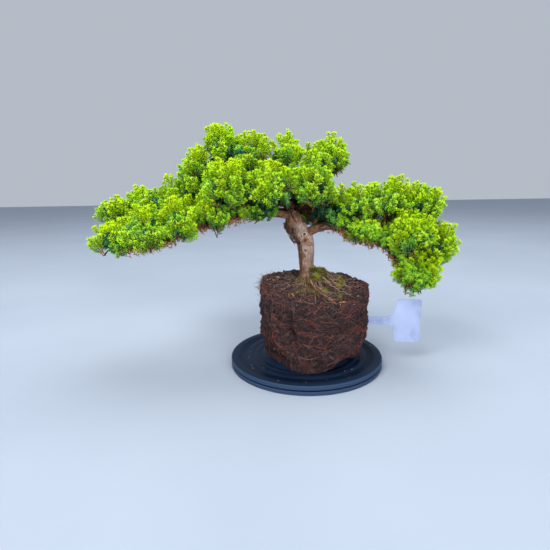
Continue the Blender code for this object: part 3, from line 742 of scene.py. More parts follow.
def fan_prototype(seed, low=False):
    """A fan of upright shoots on one twig, in millimetres: a leader and side fingers, mostly in one plane."""
    rng = np.random.default_rng(seed)
    height = FAN_HEIGHT * (0.62 if low else 1.0)
    lean = rng.normal(0, 1.6, 2)
    leader = [np.array((lean[0] * t * t, lean[1] * t * t, height * t * 0.93)) for t in np.linspace(0, 1, 7)]
    fingers = [(np.array(leader[2:]), 0.55)]
    stem = np.array(leader[:3])
    plane = rng.uniform(0, math.tau)
    count = 4 if low else rng.integers(4, 7)
    for i in range(count):
        share = 0.16 + 0.52 * i / (count - 1)
        start = np.array([np.interp(share, np.linspace(0, 1, 7), np.array(leader)[:, k]) for k in range(3)])
        turn = plane + math.pi * (i % 2) + rng.normal(0, 0.6)
        out = np.array((math.cos(turn), math.sin(turn), 0))
        length = height * (0.72 - 0.52 * share) * rng.uniform(0.85, 1.12)
        opening = math.radians(rng.uniform(42, 62))
        points = [start]
        for step in range(5):
            tilt = opening * (1 - 0.19 * step)
            points.append(points[-1] + (out * math.sin(tilt) + UP * math.cos(tilt)) * length / 5)
        fingers.append((np.array(points), 0.45))
    parts = []
    vertices, triangles = tubes(stem[None], np.full((1, 3), 0.65), 5, rng)
    parts.append((vertices, triangles, np.full(len(vertices), 0.12)))
    bases, tips, levels = [], [], []
    for points, thick in fingers:
        base, tip, share, (vertices, triangles) = finger(points, thick, rng)
        parts.append((vertices, triangles, np.full(len(vertices), 0.175)))
        bases.append(base)
        tips.append(tip)
        levels.append(0.55 * base[:, 2] / height + 0.45 * share ** 0.7)
    bases, tips, levels = (np.concatenate(values) for values in (bases, tips, levels))
    widths = rng.uniform(1.35, 1.8, len(bases))
    vertices, triangles = needles(bases, tips, widths, rng)
    low_end = NEEDLE_AGE + 0.66 * np.clip(levels * 1.14 - 0.06, 0, 1) ** 1.1
    values = (low_end[:, None] + np.array((0, 0.04, 0.04, 0.04, 0.10))).ravel()
    parts.append((vertices, triangles, values))
    vertices, triangles, values = join_meshes(parts)
    return vertices * MM, triangles, values


def place_copies(prototypes, picks, origins, directions, scales, ages, painted_sunlights, rng):
    """Copies of the prototypes, each turned so that its Z follows a direction.

    An age below 1 makes all of a copy's needles older; its twigs keep their own.
    """
    side = across(directions, rng)
    other = np.cross(directions, side)
    result = []
    for k, (vertices, triangles, values) in enumerate(prototypes):
        mine = np.flatnonzero(picks == k)
        if not len(mine):
            continue
        axes = np.stack([side[mine], other[mine], directions[mine]], axis=1) * scales[mine, None, None]
        placed = np.einsum("vk,nkj->nvj", vertices, axes) + origins[mine, None]
        green = values > TWIG_AGE
        aged = np.where(green, NEEDLE_AGE + (values - NEEDLE_AGE) * ages[mine, None], values)
        painted_sunlight = np.repeat(painted_sunlights[mine], len(vertices))
        faces = repeat_faces(triangles, len(mine), len(vertices))
        result.append((placed.reshape(-1, 3), faces, aged.ravel(), painted_sunlight))
    return join_meshes(result)


def scatter_on(vertices, triangles, count, rng):
    """Random points on a mesh, even by area, with their normals."""
    a, b, c = (vertices[triangles[:, k]] for k in range(3))
    normal = np.cross(b - a, c - a)
    area = np.linalg.norm(normal, axis=1)
    pick = rng.choice(len(triangles), count, p=area / area.sum())
    u = rng.random(count)
    v = rng.random(count)
    u, v = np.where(u + v > 1, 1 - u, u), np.where(u + v > 1, 1 - v, v)
    return a[pick] + (b - a)[pick] * u[:, None] + (c - a)[pick] * v[:, None], unit(normal[pick])


def foliage_heads(pads, rng):
    """Where each fan of shoots ends: point, way out and pad, spread evenly over the open foliage."""
    meshes = {pad: node_mesh(pad) for pad in pads}
    trees = {pad: BVHTree.FromPolygons(v.tolist(), t.tolist()) for pad, (v, t) in meshes.items()}
    centres = {pad: (np.array(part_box(pad)[0]) + np.array(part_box(pad)[1])) / 2 for pad in pads}
    points, normals, owners = [], [], []
    for k, pad in enumerate(pads):
        found, facing = scatter_on(*meshes[pad], HEADS_TRIED, rng)
        near = [other for other in pads if other != pad
                and np.linalg.norm(centres[other] - centres[pad]) < 110 * MM]
        for point, normal in zip(found, facing):
            if any(trees[other].find_nearest(Vector(point), 1 * MM)[0] is not None for other in near):
                continue
            points.append(point)
            normals.append(unit(point - centres[pad]) + 0.4 * normal)
            owners.append(k)
    points, normals, owners = np.array(points), unit(np.array(normals)), np.array(owners)
    kept = []
    for i in rng.permutation(len(points)):
        spacing = FAN_SPACING * (1.0 if normals[i][2] > -0.3 else 1.15)
        if kept and np.min(np.linalg.norm(points[kept] - points[i], axis=1)) < spacing:
            continue
        kept.append(i)
    return points[kept], normals[kept], owners[kept]


def cluster_gaps(points, rng):
    """How far each point lies in the gap between two clusters of fans, and the way out from its cluster."""
    centres = []
    for i in rng.permutation(len(points)):
        if not centres or np.min(np.linalg.norm(np.array(centres) - points[i], axis=1)) > CLUSTER_SPACING:
            centres.append(points[i])
    centres = np.array(centres)
    away = np.linalg.norm(points[:, None] - centres[None], axis=2)
    order = np.sort(away, axis=1)
    gap = np.exp(-((order[:, 1] - order[:, 0]) / (7 * MM)) ** 2)
    return gap, (points - centres[away.argmin(axis=1)]) / CLUSTER_SPACING


def hollow_painted_shade(points):
    """1 in the hollow beside the trunk's top, whose foliage is given painted shade, 0 well outside."""
    away = np.linalg.norm((points - HOLLOW) / (24 * MM, 40 * MM, 20 * MM), axis=1)
    return np.clip((1.25 - away) / 0.5, 0, 1)


TIERS = {"shoots_left_low": ("left_low_branch",), "shoots_left_high": ("left_high_branch",),
         "shoots_crown": ("crown_branch", "crown_right_branch", "crown_rear_branch"),
         "shoots_right": ("right_branch", "right_rear_branch")}


def nearest_on_limbs(points, lines, pad):
    """The nearest point of the centre lines of the limbs that bear a pad."""
    limbs = next(limbs for tier, limbs in TIERS.items() if pad.startswith(tier))
    line = np.concatenate([lines[name][0] for name in limbs])
    found = []
    for point in points:
        away = line - point
        found.append(int(np.argmin(np.linalg.norm(away, axis=1) + 0.3 * np.maximum(0, away[:, 2]))))
    return line[found]


def curved_twigs(starts, ends, lift, thick, thin, sides, rng, steps=7):
    """Twigs from starts to ends that run along the limb first and then rise, with their ages."""
    t = np.linspace(0, 1, steps)[None, :, None]
    span = np.linalg.norm(ends - starts, axis=1)[:, None, None]
    flat = (ends - starts) * (1, 1, 0.25)
    sway = rng.normal(0, 0.07, (len(starts), 1, 3)) * span
    middle = (starts + flat * 0.6)[:, None] + UP * lift * span + sway
    paths = (1 - t) ** 2 * starts[:, None] + 2 * t * (1 - t) * middle + t ** 2 * ends[:, None]
    paths[:, 1:-1] += rng.normal(0, 0.35 * MM, (len(starts), steps - 2, 3))
    radii = np.broadcast_to(np.linspace(thick, thin, steps) * MM, (len(starts), steps))
    vertices, triangles = tubes(paths, radii, sides, rng)
    age = along_tubes(np.broadcast_to(np.linspace(0.0, 0.08, steps), radii.shape), sides)
    return vertices, triangles, age


# How far along each limb its own shoots begin.
LIMB_FOLIAGE = {"left_low_branch": 0.30, "left_high_branch": 0.30, "crown_branch": 0.45,
                "crown_right_branch": 0.35, "crown_rear_branch": 0.4, "right_branch": 0.24,
                "right_rear_branch": 0.18}


def limb_fans(lines, rng):
    """Shoots that stand on the limbs themselves, between and below the pads: root, direction and scale."""
    roots, ways, scales = [], [], []
    for name, first in LIMB_FOLIAGE.items():
        line, _ = lines[name]
        run = unit(np.gradient(line, axis=0))
        for i in range(int(first * len(line)), len(line), 5):
            side = unit(np.cross(run[i], UP))
            for turn in (-1, 0, 1):
                lean = turn * rng.uniform(0.4, 1.2)
                way = unit(UP * rng.uniform(0.5, 1.0) + side * lean + run[i] * rng.uniform(-0.2, 0.6))
                roots.append(line[i] + way * rng.uniform(1, 4) * MM)
                ways.append(way)
                scales.append(rng.uniform(0.55, 0.85))
    return np.array(roots), np.array(ways), np.array(scales)


# How thickly dry twiglets stand on the limbs that show them most.
DRY_SHARE = {"left_low_branch": 2.6, "left_high_branch": 1.6, "right_branch": 1.9}
DRY_CHANCE = 0.55
DRY_NEEDLES = 6


def dead_twigs(lines, rng):
    """Bare orange-brown twiglets left along the underside of the foliage limbs, some with dry needles."""
    starts, ends = [], []
    for name, first in LIMB_FOLIAGE.items():
        line, radius = lines[name]
        run = unit(np.gradient(line, axis=0))
        for i in rng.integers(int(first * len(line)), len(line), int(len(line) * DRY_SHARE.get(name, 1.0))):
            side = unit(np.cross(run[i], UP))
            way = unit(side * rng.normal(0, 1) - UP * rng.uniform(0.0, 0.9) + run[i] * rng.uniform(-0.3, 1.2))
            starts.append(line[i] + way * radius[i] * 0.6)
            ends.append(line[i] + way * (radius[i] + rng.uniform(2.5, 10) * MM))
    starts, ends = np.array(starts), np.array(ends)
    vertices, triangles, age = curved_twigs(starts, ends, 0.1, 0.6, 0.3, 4, rng, steps=5)
    dry = rng.random(len(starts)) < DRY_CHANCE
    count = DRY_NEEDLES
    centres = np.repeat(starts[dry] + (ends - starts)[dry] * 0.85, count, axis=0)
    along = unit(np.repeat((ends - starts)[dry], count, axis=0))
    ways = unit(along * 0.7 + across(along, rng))
    leaf = rng.uniform(2.5, 4.5, (len(centres), 1)) * MM
    blades, faces = needles(centres, centres + ways * leaf, np.full(len(centres), 1.1 * MM), rng)
    shade = np.repeat(rng.uniform(0.35, 1.0, len(centres)), 5)
    tint = np.repeat(rng.uniform(0.0, 0.55, len(starts)), len(age) // len(starts))
    return join_meshes([(vertices, triangles, tint + 3 * age), (blades, faces, shade)])


def make_foliage(growth, dry, lines):
    """Fans of shoots over each pad, dark old ones inside it and short ones on the limbs, all on twigs; their
    light value is painted light, shaded in gaps, underneath, inside and in the hollow.
    """
    pads = sorted(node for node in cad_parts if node.startswith("shoots_"))
    rng = np.random.default_rng(7)
    tall = [fan_prototype(200 + k) for k in range(TALL_FANS)]
    short = [fan_prototype(300 + k, low=True) for k in range(SHORT_FANS)]
    points, normals, owners = foliage_heads(pads, rng)
    boxes = [np.array([list(corner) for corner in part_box(pad)]) for pad in pads]
    below = normals[:, 2] < -0.3
    level = unit(normals * (1, 1, 0) + 1e-9)
    drooping = np.clip((FOOT[2] + 66 * MM - points[:, 2]) / (34 * MM), 0, 1) * (points[:, 0] > 0)
    outward_share = (0.55 + 0.6 * drooping)[:, None]
    heading = np.where(below[:, None], level * 0.9 + UP * 0.25, normals * outward_share + UP * 0.8)
    gap, outward = cluster_gaps(points, rng)
    heading = unit(heading + 0.45 * outward + rng.normal(0, 0.10, normals.shape))
    scales = np.where(below, rng.uniform(0.55, 0.8, len(points)), rng.uniform(0.75, 1.08, len(points)))
    shift = UP * np.where(below, 5.0, 1.6 * np.clip(normals[:, 2], 0, 1))[:, None] * MM
    heads = points + shift + heading * (rng.uniform(-2.5, 2.8, (len(points), 1)) - 7.5 * gap[:, None]) * MM
    floors = np.array([boxes[k][0][2] for k in owners])
    room = (heads[:, 2] - floors + 3 * MM) / np.maximum(heading[:, 2], 0.2)
    scales = np.clip(np.minimum(scales, room / (FAN_HEIGHT * MM)), 0.45, 1.1)
    lengths = FAN_HEIGHT * MM * scales
    origins = heads - heading * lengths[:, None]
    # Painted light: fans that face up get lighter colours, fans between clusters of fans darker ones (painted
    # shade).
    light = 0.65 + 0.56 * normals[:, 2] + 0.26 * bumps(points, 34 * MM, 3) + rng.normal(0, 0.09, len(points))
    light = np.clip(light - 0.30 * gap, 0, 1)
    # Painted shade in the hollow beside the trunk's top: its fans take the darkest shaded colours.
    hollow = hollow_painted_shade(points)
    light, gap = light * (1 - hollow), np.maximum(gap, 1.5 * hollow)
    limb_roots, limb_ways, limb_scales = limb_fans(lines, rng)
    # Painted shade: the fans on the limbs in the hollow get older, darker needles.
    outside_painted_shade = 1 - 0.8 * hollow_painted_shade(limb_roots)
    middles = np.array([box.mean(axis=0) for box in boxes])
    limb_owner = np.array([int(np.argmin(np.linalg.norm(middles - root, axis=1))) for root in limb_roots])
    make_piece("dead_twigs", dead_twigs(lines, rng), dry, ("kind",))
    for k, pad in enumerate(pads):
        mine = np.flatnonzero(owners == k)
        parts = []
        painted_sunlights = np.clip(light[mine], 0, 1)
        # Needle age carries painted light too: lower, so darker and bluer, between clusters and where the
        # light value is low.
        ages = np.clip(0.90 + 0.2 * light[mine] - 0.55 * gap[mine], 0, 1)
        parts.append(place_copies(tall, rng.integers(0, len(tall), len(mine)), origins[mine], heading[mine],
                                  scales[mine], ages, painted_sunlights, rng))
        inner = HOLLOW_FANS if pad == "shoots_crown_shade" else INNER_FANS
        ball = unit(rng.normal(size=(inner, 3))) * (1, 1, 0.6) - 0.3 * UP
        half = (boxes[k][1] - boxes[k][0]) / 2
        inner_ways = unit(ball * 0.6 + 0.8 * UP)
        inner_tips = middles[k] + ball * half * rng.uniform(0.25, 0.66, (inner, 1))
        # Painted shade: this pad's inner fans are put, dark, in the hollow by the trunk's top, where there is
        # only shade.
        if pad == "shoots_crown_shade":
            inner_tips = HOLLOW + (np.array((4, 12, 11)) + rng.normal(size=(inner, 3)) * (9, 8, 5)) * MM
        inner_scales = np.clip(rng.uniform(0.7, 0.95, inner), 0, (half[2] * 1.5) / (FAN_HEIGHT * MM))
        inner_origins = inner_tips - inner_ways * (FAN_HEIGHT * MM * inner_scales * 0.8)[:, None]
        # The inner fans have old needles and painted shade: they take the shaded colours.
        parts.append(place_copies(tall, rng.integers(0, len(tall), inner), inner_origins, inner_ways,
                                  inner_scales, np.full(inner, OLD_AGE), np.full(inner, INNER_PAINTED_SUNLIGHT), rng))
        own = np.flatnonzero(limb_owner == k)
        if len(own):
            # The fans on the limbs get older needles and mostly shaded colours: painted shade under the pads.
            parts.append(place_copies(short, rng.integers(0, len(short), len(own)), limb_roots[own],
                                      limb_ways[own], limb_scales[own] * 1.3,
                                      rng.uniform(0.45, 0.95, len(own)) * outside_painted_shade[own],
                                      rng.uniform(0.05, 0.5, len(own)), rng))
        roots = np.concatenate([origins[mine], inner_origins])
        stems = curved_twigs(nearest_on_limbs(roots, lines, pad), roots, 0.05, 0.9, 0.45, 5, rng)
        parts.append((*stems, np.full(len(stems[0]), 0.5)))
        shape = join_meshes(parts)
        painted_sunlight = shape[3]
        wobble = np.tile(np.array((-0.004, 0.0, 0.004, 0.0)), len(painted_sunlight) // 4 + 1)[:len(painted_sunlight)]
        make_piece(pad.replace("shoots_", "foliage_"), shape, growth, ("age", "painted_sunlight"),
                   nodes=(pad,), rows=0.02 + 0.96 * painted_sunlight + wobble)


# ---------------------------------------------------------------- turntable

DISC_SEGMENTS = 192


def lathe(profile, segments):
    """A closed solid turned about Z from (radius, height) points that run from axis to axis."""
    rings = []
    angles = math.tau * np.arange(segments) / segments
    for radius, height in profile:
        rings.append(np.stack([radius * np.cos(angles), radius * np.sin(angles),
                               np.full(segments, height)], axis=1))
    vertices = np.concatenate(rings)
    triangles = []
    for i in range(len(profile) - 1):
        lower = i * segments + np.arange(segments)
        turned = i * segments + (np.arange(segments) + 1) % segments
        if profile[i][0] > 0:
            triangles.append(np.stack([lower, turned, turned + segments], axis=1))
        if profile[i + 1][0] > 0:
            triangles.append(np.stack([lower, turned + segments, lower + segments], axis=1))
    return vertices, np.concatenate(triangles)


def rounded(corner, radius, start, end, steps=5):
    """Points of a circle's arc between two angles in degrees."""
    return [(corner[0] + radius * math.cos(math.radians(a)), corner[1] + radius * math.sin(math.radians(a)))
            for a in np.linspace(start, end, steps)]


def rounded_rim(radius, bottom, top, edge):
    """A disc's outer edge, rounded below and above."""
    return (rounded((radius - edge, bottom + edge), edge, -90, 0)
            + rounded((radius - edge, top - edge), edge, 0, 90))


def weld(piece):
    """Joins vertices that lie in one place."""
    builder = bmesh.new()
    builder.from_mesh(piece.data)
    bmesh.ops.remove_doubles(builder, verts=builder.verts, dist=1e-6)
    builder.to_mesh(piece.data)
    builder.free()


# The upper disc's ring-shaped steps, in millimetres: a step down at the first, a shallow groove at the rest.
STEP_RADII = (89, 80, 69, 60)


def painted_rim_highlight(vertices, radius):
    """How far each point is painted lighter as a rim highlight: the rim most."""
    return np.clip((np.hypot(vertices[:, 0], vertices[:, 1]) - radius + 1.4 * MM) / MM, 0, 1)


def make_turntable(disc):
    """The two moulded discs, one above the other, with the swivel between them."""
    base_low, base_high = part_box("turntable_base")
    top_low, top_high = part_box("turntable_top")
    radius = base_high[0]
    edge = 1.3 * MM
    bottom, top = base_low[2], base_high[2]
    profile = [(0, bottom), (radius - 12 * MM, bottom), (radius - 11.6 * MM, bottom + 0.4 * MM),
               (radius - 8.4 * MM, bottom + 0.4 * MM), (radius - 8 * MM, bottom)]
    profile += rounded_rim(radius, bottom, top, edge)
    profile += [(radius - 4 * MM, top), (radius - 4.4 * MM, top - 0.4 * MM), (0, top - 0.4 * MM)]
    vertices, triangles = lathe(profile, DISC_SEGMENTS)
    weld(make_piece("base_disc", (vertices, triangles, painted_rim_highlight(vertices, radius)), disc,
                    ("rim_highlight",), nodes=("turntable_base",), body="base"))
    bottom, top = top_low[2], top_high[2]
    profile = [(0, bottom + 0.4 * MM), (radius - 4.4 * MM, bottom + 0.4 * MM), (radius - 4 * MM, bottom)]
    profile += rounded_rim(radius, bottom, top, edge)
    level = top
    for step in STEP_RADII:
        at = step * MM
        if level == top:
            profile += [(at + 0.5 * MM, level), (at + 0.1 * MM, level - 0.12 * MM), (at, level - 0.5 * MM)]
            level = top - 0.5 * MM
        else:
            profile += [(at + 0.8 * MM, level), (at + 0.6 * MM, level - 0.18 * MM),
                        (at + 0.2 * MM, level - 0.18 * MM), (at, level)]
    profile += [(0, level)]
    vertices, triangles = lathe(profile, DISC_SEGMENTS)
    weld(make_piece("top_disc", (vertices, triangles, painted_rim_highlight(vertices, radius)), disc,
                    ("rim_highlight",), nodes=("turntable_top",)))


def finish_bearing(steel, nylon):
    """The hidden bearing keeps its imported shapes."""
    for node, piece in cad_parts.items():
        if node.startswith("bearing_ball") or node in ("pivot_pin", "ball_cage"):
            piece.data.materials.clear()
            piece.data.materials.append(nylon if node == "ball_cage" else steel)


# ---------------------------------------------------------------- root ball

BALL_ROWS = 190
BALL_COLUMNS = 320
SOIL_LEVEL = 101 * MM
CORE_LEVEL = 48 * MM


class RootBall:
    """The root ball's surface as a distance from its middle for each direction."""

    def __init__(self):
        vertices, _ = node_mesh("root_ball")
        builder = bmesh.new()
        for vertex in vertices:
            builder.verts.new(vertex)
        bmesh.ops.convex_hull(builder, input=builder.verts)
        hull = BVHTree.FromBMesh(builder)
        builder.free()
        low, high = (np.array(corner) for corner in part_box("root_ball"))
        self.low = low[2]
        self.centre = np.array(((low[0] + high[0]) / 2, (low[1] + high[1]) / 2, low[2] + CORE_LEVEL))
        self.turns = math.tau * np.arange(BALL_COLUMNS) / BALL_COLUMNS
        self.lifts = np.linspace(-0.5, 0.5, BALL_ROWS) * math.pi
        ways = self.ways(self.turns[None], self.lifts[:, None]).reshape(-1, 3)
        wall = np.array([hull.ray_cast(Vector(self.centre), Vector(w))[3] or 0 for w in ways])
        rim = Vector((self.centre[0], self.centre[1], self.low + 68 * MM))
        level = self.ways(self.turns, np.zeros(BALL_COLUMNS))
        girth = np.array([hull.ray_cast(rim, Vector(w))[3] for w in level])
        upright = np.tile(girth, BALL_ROWS) / np.maximum(np.hypot(ways[:, 0], ways[:, 1]), 0.05)
        wall = np.where(ways[:, 2] > 0.28, upright, wall)
        reach = self.under_soil_top(ways, wall)
        points = self.centre + ways * reach[:, None]
        self.reach = (reach + self.relief(points, ways)).reshape(BALL_ROWS, BALL_COLUMNS)

    def under_soil_top(self, ways, wall):
        """The wall's distance, cut off by the soil's top, which slopes to the front and right."""
        slope_x = -0.06
        slope_y = np.where(ways[:, 1] < 0, 0.28, 0.02)
        rise = ways[:, 2] - slope_x * ways[:, 0] - slope_y * ways[:, 1]
        top = (SOIL_LEVEL + self.low - self.centre[2]) / np.maximum(rise, 0.02)
        gap = np.clip(0.5 + 0.5 * (wall - top) / (11 * MM), 0, 1)
        return wall * (1 - gap) + top * gap - 11 * MM * gap * (1 - gap)

    @staticmethod
    def ways(turns, lifts):
        """The directions with these bearings and heights above level, in radians."""
        turns, lifts = np.broadcast_arrays(turns, lifts)
        level = np.cos(lifts)
        return np.stack([np.cos(turns) * level, np.sin(turns) * level, np.sin(lifts)], axis=-1)

    def relief(self, points, ways):
        """Lumps and crumbs, a torn corner, a worn and a lifted edge, a cleft, and mounds round the trunk."""
        height = (points[:, 2] - self.low) / MM
        turn = np.arctan2(ways[:, 1], ways[:, 0])
        wall = np.clip((height - 0.6) / 4, 0, 1)
        change = bumps(points, 15 * MM, 1) * 2.4 + bumps(points, 5 * MM, 2) * 1.7
        change = change + bumps(points, 2.2 * MM, 3) * 1.1
        change = change * wall - 1.2 * wall
        torn = np.exp(-(angle_from(turn, 218) / 26) ** 2) * np.clip((34 - height) / 34, 0, 1) ** 1.4
        worn = np.exp(-(angle_from(turn, -15) / 40) ** 2) * np.clip((50 - height) / 50, 0, 1)
        slant = angle_from(turn, 241) + (height - 54) * 0.16 + 2 * np.sin(height / 4)
        cleft = np.exp(-(slant / 3.8) ** 2) * np.exp(-((height - 54) / 15) ** 2)
        across_plan = np.linalg.norm(points[:, :2] - self.centre[:2], axis=1) / MM
        lifted = np.exp(-(angle_from(turn, -48) / 30) ** 2) * np.clip((24 - height) / 24, 0, 1)
        lifted = lifted * np.clip((across_plan - 22) / 26, 0, 1)
        x, y = points[:, 0] / MM, points[:, 1] / MM
        mound = 12 * np.exp(-((x - 15) / 13) ** 2 - ((y + 1) / 15) ** 2)
        mound = mound + 5 * np.exp(-((x - 34) / 12) ** 2 - ((y - 6) / 18) ** 2)
        mound = mound * np.clip((height - 80) / 15, 0, 1)
        return (change + mound - 12 * torn * wall - 6 * worn * wall - 15 * lifted - 10 * cleft) * MM

    def lookup(self, points):
        """The surface's distance from the middle in the direction of each point, and that direction."""
        ways = unit(points - self.centre)
        turn = np.arctan2(ways[..., 1], ways[..., 0]) % math.tau
        lift = np.arcsin(np.clip(ways[..., 2], -1, 1))
        column = turn / math.tau * BALL_COLUMNS
        row = (lift / math.pi + 0.5) * (BALL_ROWS - 1)
        c0 = np.floor(column).astype(int) % BALL_COLUMNS
        c1 = (c0 + 1) % BALL_COLUMNS
        r0 = np.clip(np.floor(row).astype(int), 0, BALL_ROWS - 2)
        fc = column - np.floor(column)
        fr = row - r0
        near = self.reach[r0, c0] * (1 - fc) + self.reach[r0, c1] * fc
        far = self.reach[r0 + 1, c0] * (1 - fc) + self.reach[r0 + 1, c1] * fc
        return near * (1 - fr) + far * fr, ways

    def on_surface(self, points, lift=0.0):
        """Points moved in or out to the surface, or to that much above it."""
        distance, ways = self.lookup(points)
        return self.centre + ways * (distance + lift)[..., None]

    def height_at(self, x, y):
        """The soil's height above a point on the plan."""
        z = np.full(np.shape(x), self.centre[2] + 60 * MM)
        for _ in range(12):
            surface = self.on_surface(np.stack([x, y, z], axis=-1))
            z = surface[..., 2]
        return z

    def on_soil(self, points):
        """Points moved straight up or down to the soil."""
        return np.column_stack([points[:, :2], self.height_at(points[:, 0], points[:, 1])])

    def mesh(self):
        """The whole surface as vertices and triangles, flat where it stands on the disc."""
        ways = self.ways(self.turns[None], self.lifts[:, None])
        vertices = (self.centre + ways * self.reach[..., None]).reshape(-1, 3)
        vertices[:, 2] = np.maximum(vertices[:, 2], self.low)
        rows = np.arange(BALL_ROWS - 1)[:, None] * BALL_COLUMNS
        lower = rows + np.arange(BALL_COLUMNS)[None]
        turned = rows + (np.arange(BALL_COLUMNS)[None] + 1) % BALL_COLUMNS
        first = np.stack([lower, turned, turned + BALL_COLUMNS], axis=-1)[1:]
        second = np.stack([lower, turned + BALL_COLUMNS, lower + BALL_COLUMNS], axis=-1)[:-1]
        return vertices, np.concatenate([first.reshape(-1, 3), second.reshape(-1, 3)])


def angle_from(turn, degrees):
    """Degrees between each turn and a bearing, from -180 to 180."""
    return (np.degrees(turn) - degrees + 180) % 360 - 180


def crawl(ball, starts, ways, steps, stride, wander, lift, rng):
    """Paths that crawl over the root ball from their starts, wandering as roots do."""
    points = ball.on_surface(starts, lift)
    paths = [points]
    for _ in range(steps - 1):
        ways = ways + rng.normal(0, wander, ways.shape)
        out = unit(points - ball.centre)
        ways = unit(ways - out * (ways * out).sum(-1, keepdims=True))
        points = ball.on_surface(points + ways * stride[:, None], lift)
        points[:, 2] = np.maximum(points[:, 2], ball.low + 0.4 * MM)
        paths.append(points)
    return np.stack(paths, axis=1)


WALL_ROOTS, ROOT_HAIRS, TOP_ROOTS, LONG_ROOTS = 2300, 2600, 2100, 75
HAIR_SIDES = 3


def polar(turns, away, height=0.0):
    """Points at these turns and distances from the middle, at one height."""
    return np.stack([away * np.cos(turns), away * np.sin(turns), np.full(len(turns), height)], axis=1)


def pick_kinds(count, kinds, shares, spread, rng):
    """A kind for each root, drawn by shares and blurred a little."""
    return np.clip(rng.choice(kinds, count, p=shares) + rng.normal(0, spread, count), 0, 1)


def root_tubes(paths, thick, taper, kind, sides, rng):
    """Roots of one kind each, as tubes along paths; thick is in millimetres."""
    vertices, triangles = tubes(paths, thick[:, None] * taper[None] * MM, sides, rng)
    return vertices, triangles, np.repeat(kind, paths.shape[1] * sides)


def wall_roots(ball, count, rng, steps=13):
    """Fine roots matted over the wall, mostly level, and mostly upright on the left side."""
    turn = rng.uniform(0, math.tau, count)
    height = rng.uniform(2, 104, count) * MM
    out = polar(turn, 1.0)
    starts = ball.centre + out * 60 * MM
    starts[:, 2] = ball.low + height
    side = np.abs(angle_from(turn, 185)) < 35
    slope = np.where(side, rng.normal(75, 30, count), rng.normal(0, 34, count))
    slope = np.radians(slope + 180 * rng.integers(0, 2, count))
    ways = np.cross(UP, out) * np.cos(slope)[:, None] + UP * np.sin(slope)[:, None]
    stride = rng.uniform(0.7, 2.4, count) * MM
    lift = rng.uniform(-0.2, 1.1, count) * MM
    paths = crawl(ball, starts, ways, steps, stride, 0.17, lift, rng)
    thick = rng.uniform(0.10, 0.24, count)
    taper = np.concatenate([[0.5], np.ones(steps - 3), [0.7, 0.3]])
    kind = pick_kinds(count, (0.12, 0.35, 0.58, 0.74, 0.82, 0.89), (0.38, 0.28, 0.16, 0.07, 0.06, 0.05), 0.04,
                      rng)
    return root_tubes(paths, thick, taper, kind, HAIR_SIDES, rng)


def top_roots(ball, count, rng, steps=14):
    """Roots that run out over the soil from the trunk's foot."""
    turn = rng.uniform(0, math.tau, count)
    starts = ball.on_soil(polar(turn, rng.uniform(8, 55, count) * MM))
    ways = unit(polar(turn, 1.0, -0.2) + rng.normal(0, 0.55, starts.shape))
    stride = rng.uniform(0.8, 3.0, count) * MM
    lift = rng.uniform(-0.2, 1.1, count) * MM
    paths = crawl(ball, starts, ways, steps, stride, 0.2, lift, rng)
    thick = rng.uniform(0.13, 0.32, count)
    kind = pick_kinds(count, (0.12, 0.4, 0.6, 0.74, 0.94, 0.99), (0.30, 0.27, 0.14, 0.11, 0.12, 0.06), 0.03,
                      rng)
    return root_tubes(paths, thick, np.linspace(1, 0.4, steps), kind, HAIR_SIDES, rng)


def stray_hairs(ball, count, rng, steps=5):
    """Fine root hairs that stand off the root ball, the longest of them at its left rim."""
    rim = rng.random(count) < 0.25
    turn = np.where(rim, rng.normal(math.radians(188), 0.5, count), rng.uniform(0, math.tau, count))
    height = np.where(rim, rng.normal(97, 7, count), rng.uniform(0, 98, count)) * MM
    starts = ball.centre + polar(turn, 1.0) * 66 * MM
    starts[:, 2] = ball.low + np.clip(height, 1 * MM, 106 * MM)
    starts = ball.on_surface(starts, -0.5 * MM * np.ones(count))
    ways = unit(unit(starts - ball.centre) + rng.normal(0, 0.75, (count, 3)))
    bend = rng.normal(0, 0.35, (count, 3))
    length = np.where(rim, rng.uniform(3, 9, count), rng.uniform(1.2, 4.0, count)) * MM
    t = np.linspace(0, 1, steps)[None, :, None]
    paths = starts[:, None] + (ways[:, None] * t + bend[:, None] * t ** 2) * length[:, None, None]
    paths[..., 2] = np.maximum(paths[..., 2], ball.low + 0.3 * MM)
    thick = rng.uniform(0.10, 0.22, count)
    kind = pick_kinds(count, (0.3, 0.6, 0.84, 0.95), (0.35, 0.25, 0.35, 0.05), 0.03, rng)
    return root_tubes(paths, thick, np.linspace(1, 0.5, steps), kind, HAIR_SIDES, rng)


def long_roots(ball, count, rng, steps=20):
    """Long pale roots that run from the trunk over the soil, mostly to the front and right."""
    turn = np.radians(rng.normal(-38, 42, count))
    starts = ball.on_soil(polar(turn, rng.uniform(5, 20, count) * MM))
    stride = rng.uniform(1.5, 3.2, count) * MM
    lift = rng.uniform(0.9, 3.2, count) * MM
    paths = crawl(ball, starts, polar(turn, 1.0), steps, stride, 0.16, lift, rng)
    thick = rng.uniform(0.2, 0.5, count)
    kind = pick_kinds(count, (0.72, 0.93, 0.96), (0.3, 0.4, 0.3), 0.02, rng)
    return root_tubes(paths, thick, np.linspace(1, 0.5, steps), kind, 5, rng)


def make_roots(ball, mix, fibre):
    weld(make_piece("soil_and_roots", ball.mesh(), mix, nodes=("root_ball",)))
    rng = np.random.default_rng(31)
    for part in range(4):
        roots = wall_roots(ball, WALL_ROOTS, rng)
        make_piece(f"wall_roots_{part + 1}", roots, fibre, ("kind",))
    make_piece("root_hairs", stray_hairs(ball, ROOT_HAIRS, rng), fibre, ("kind",))
    roots = join_meshes([top_roots(ball, TOP_ROOTS, rng), long_roots(ball, LONG_ROOTS, rng)])
    make_piece("surface_fine_roots", roots, fibre, ("kind",))


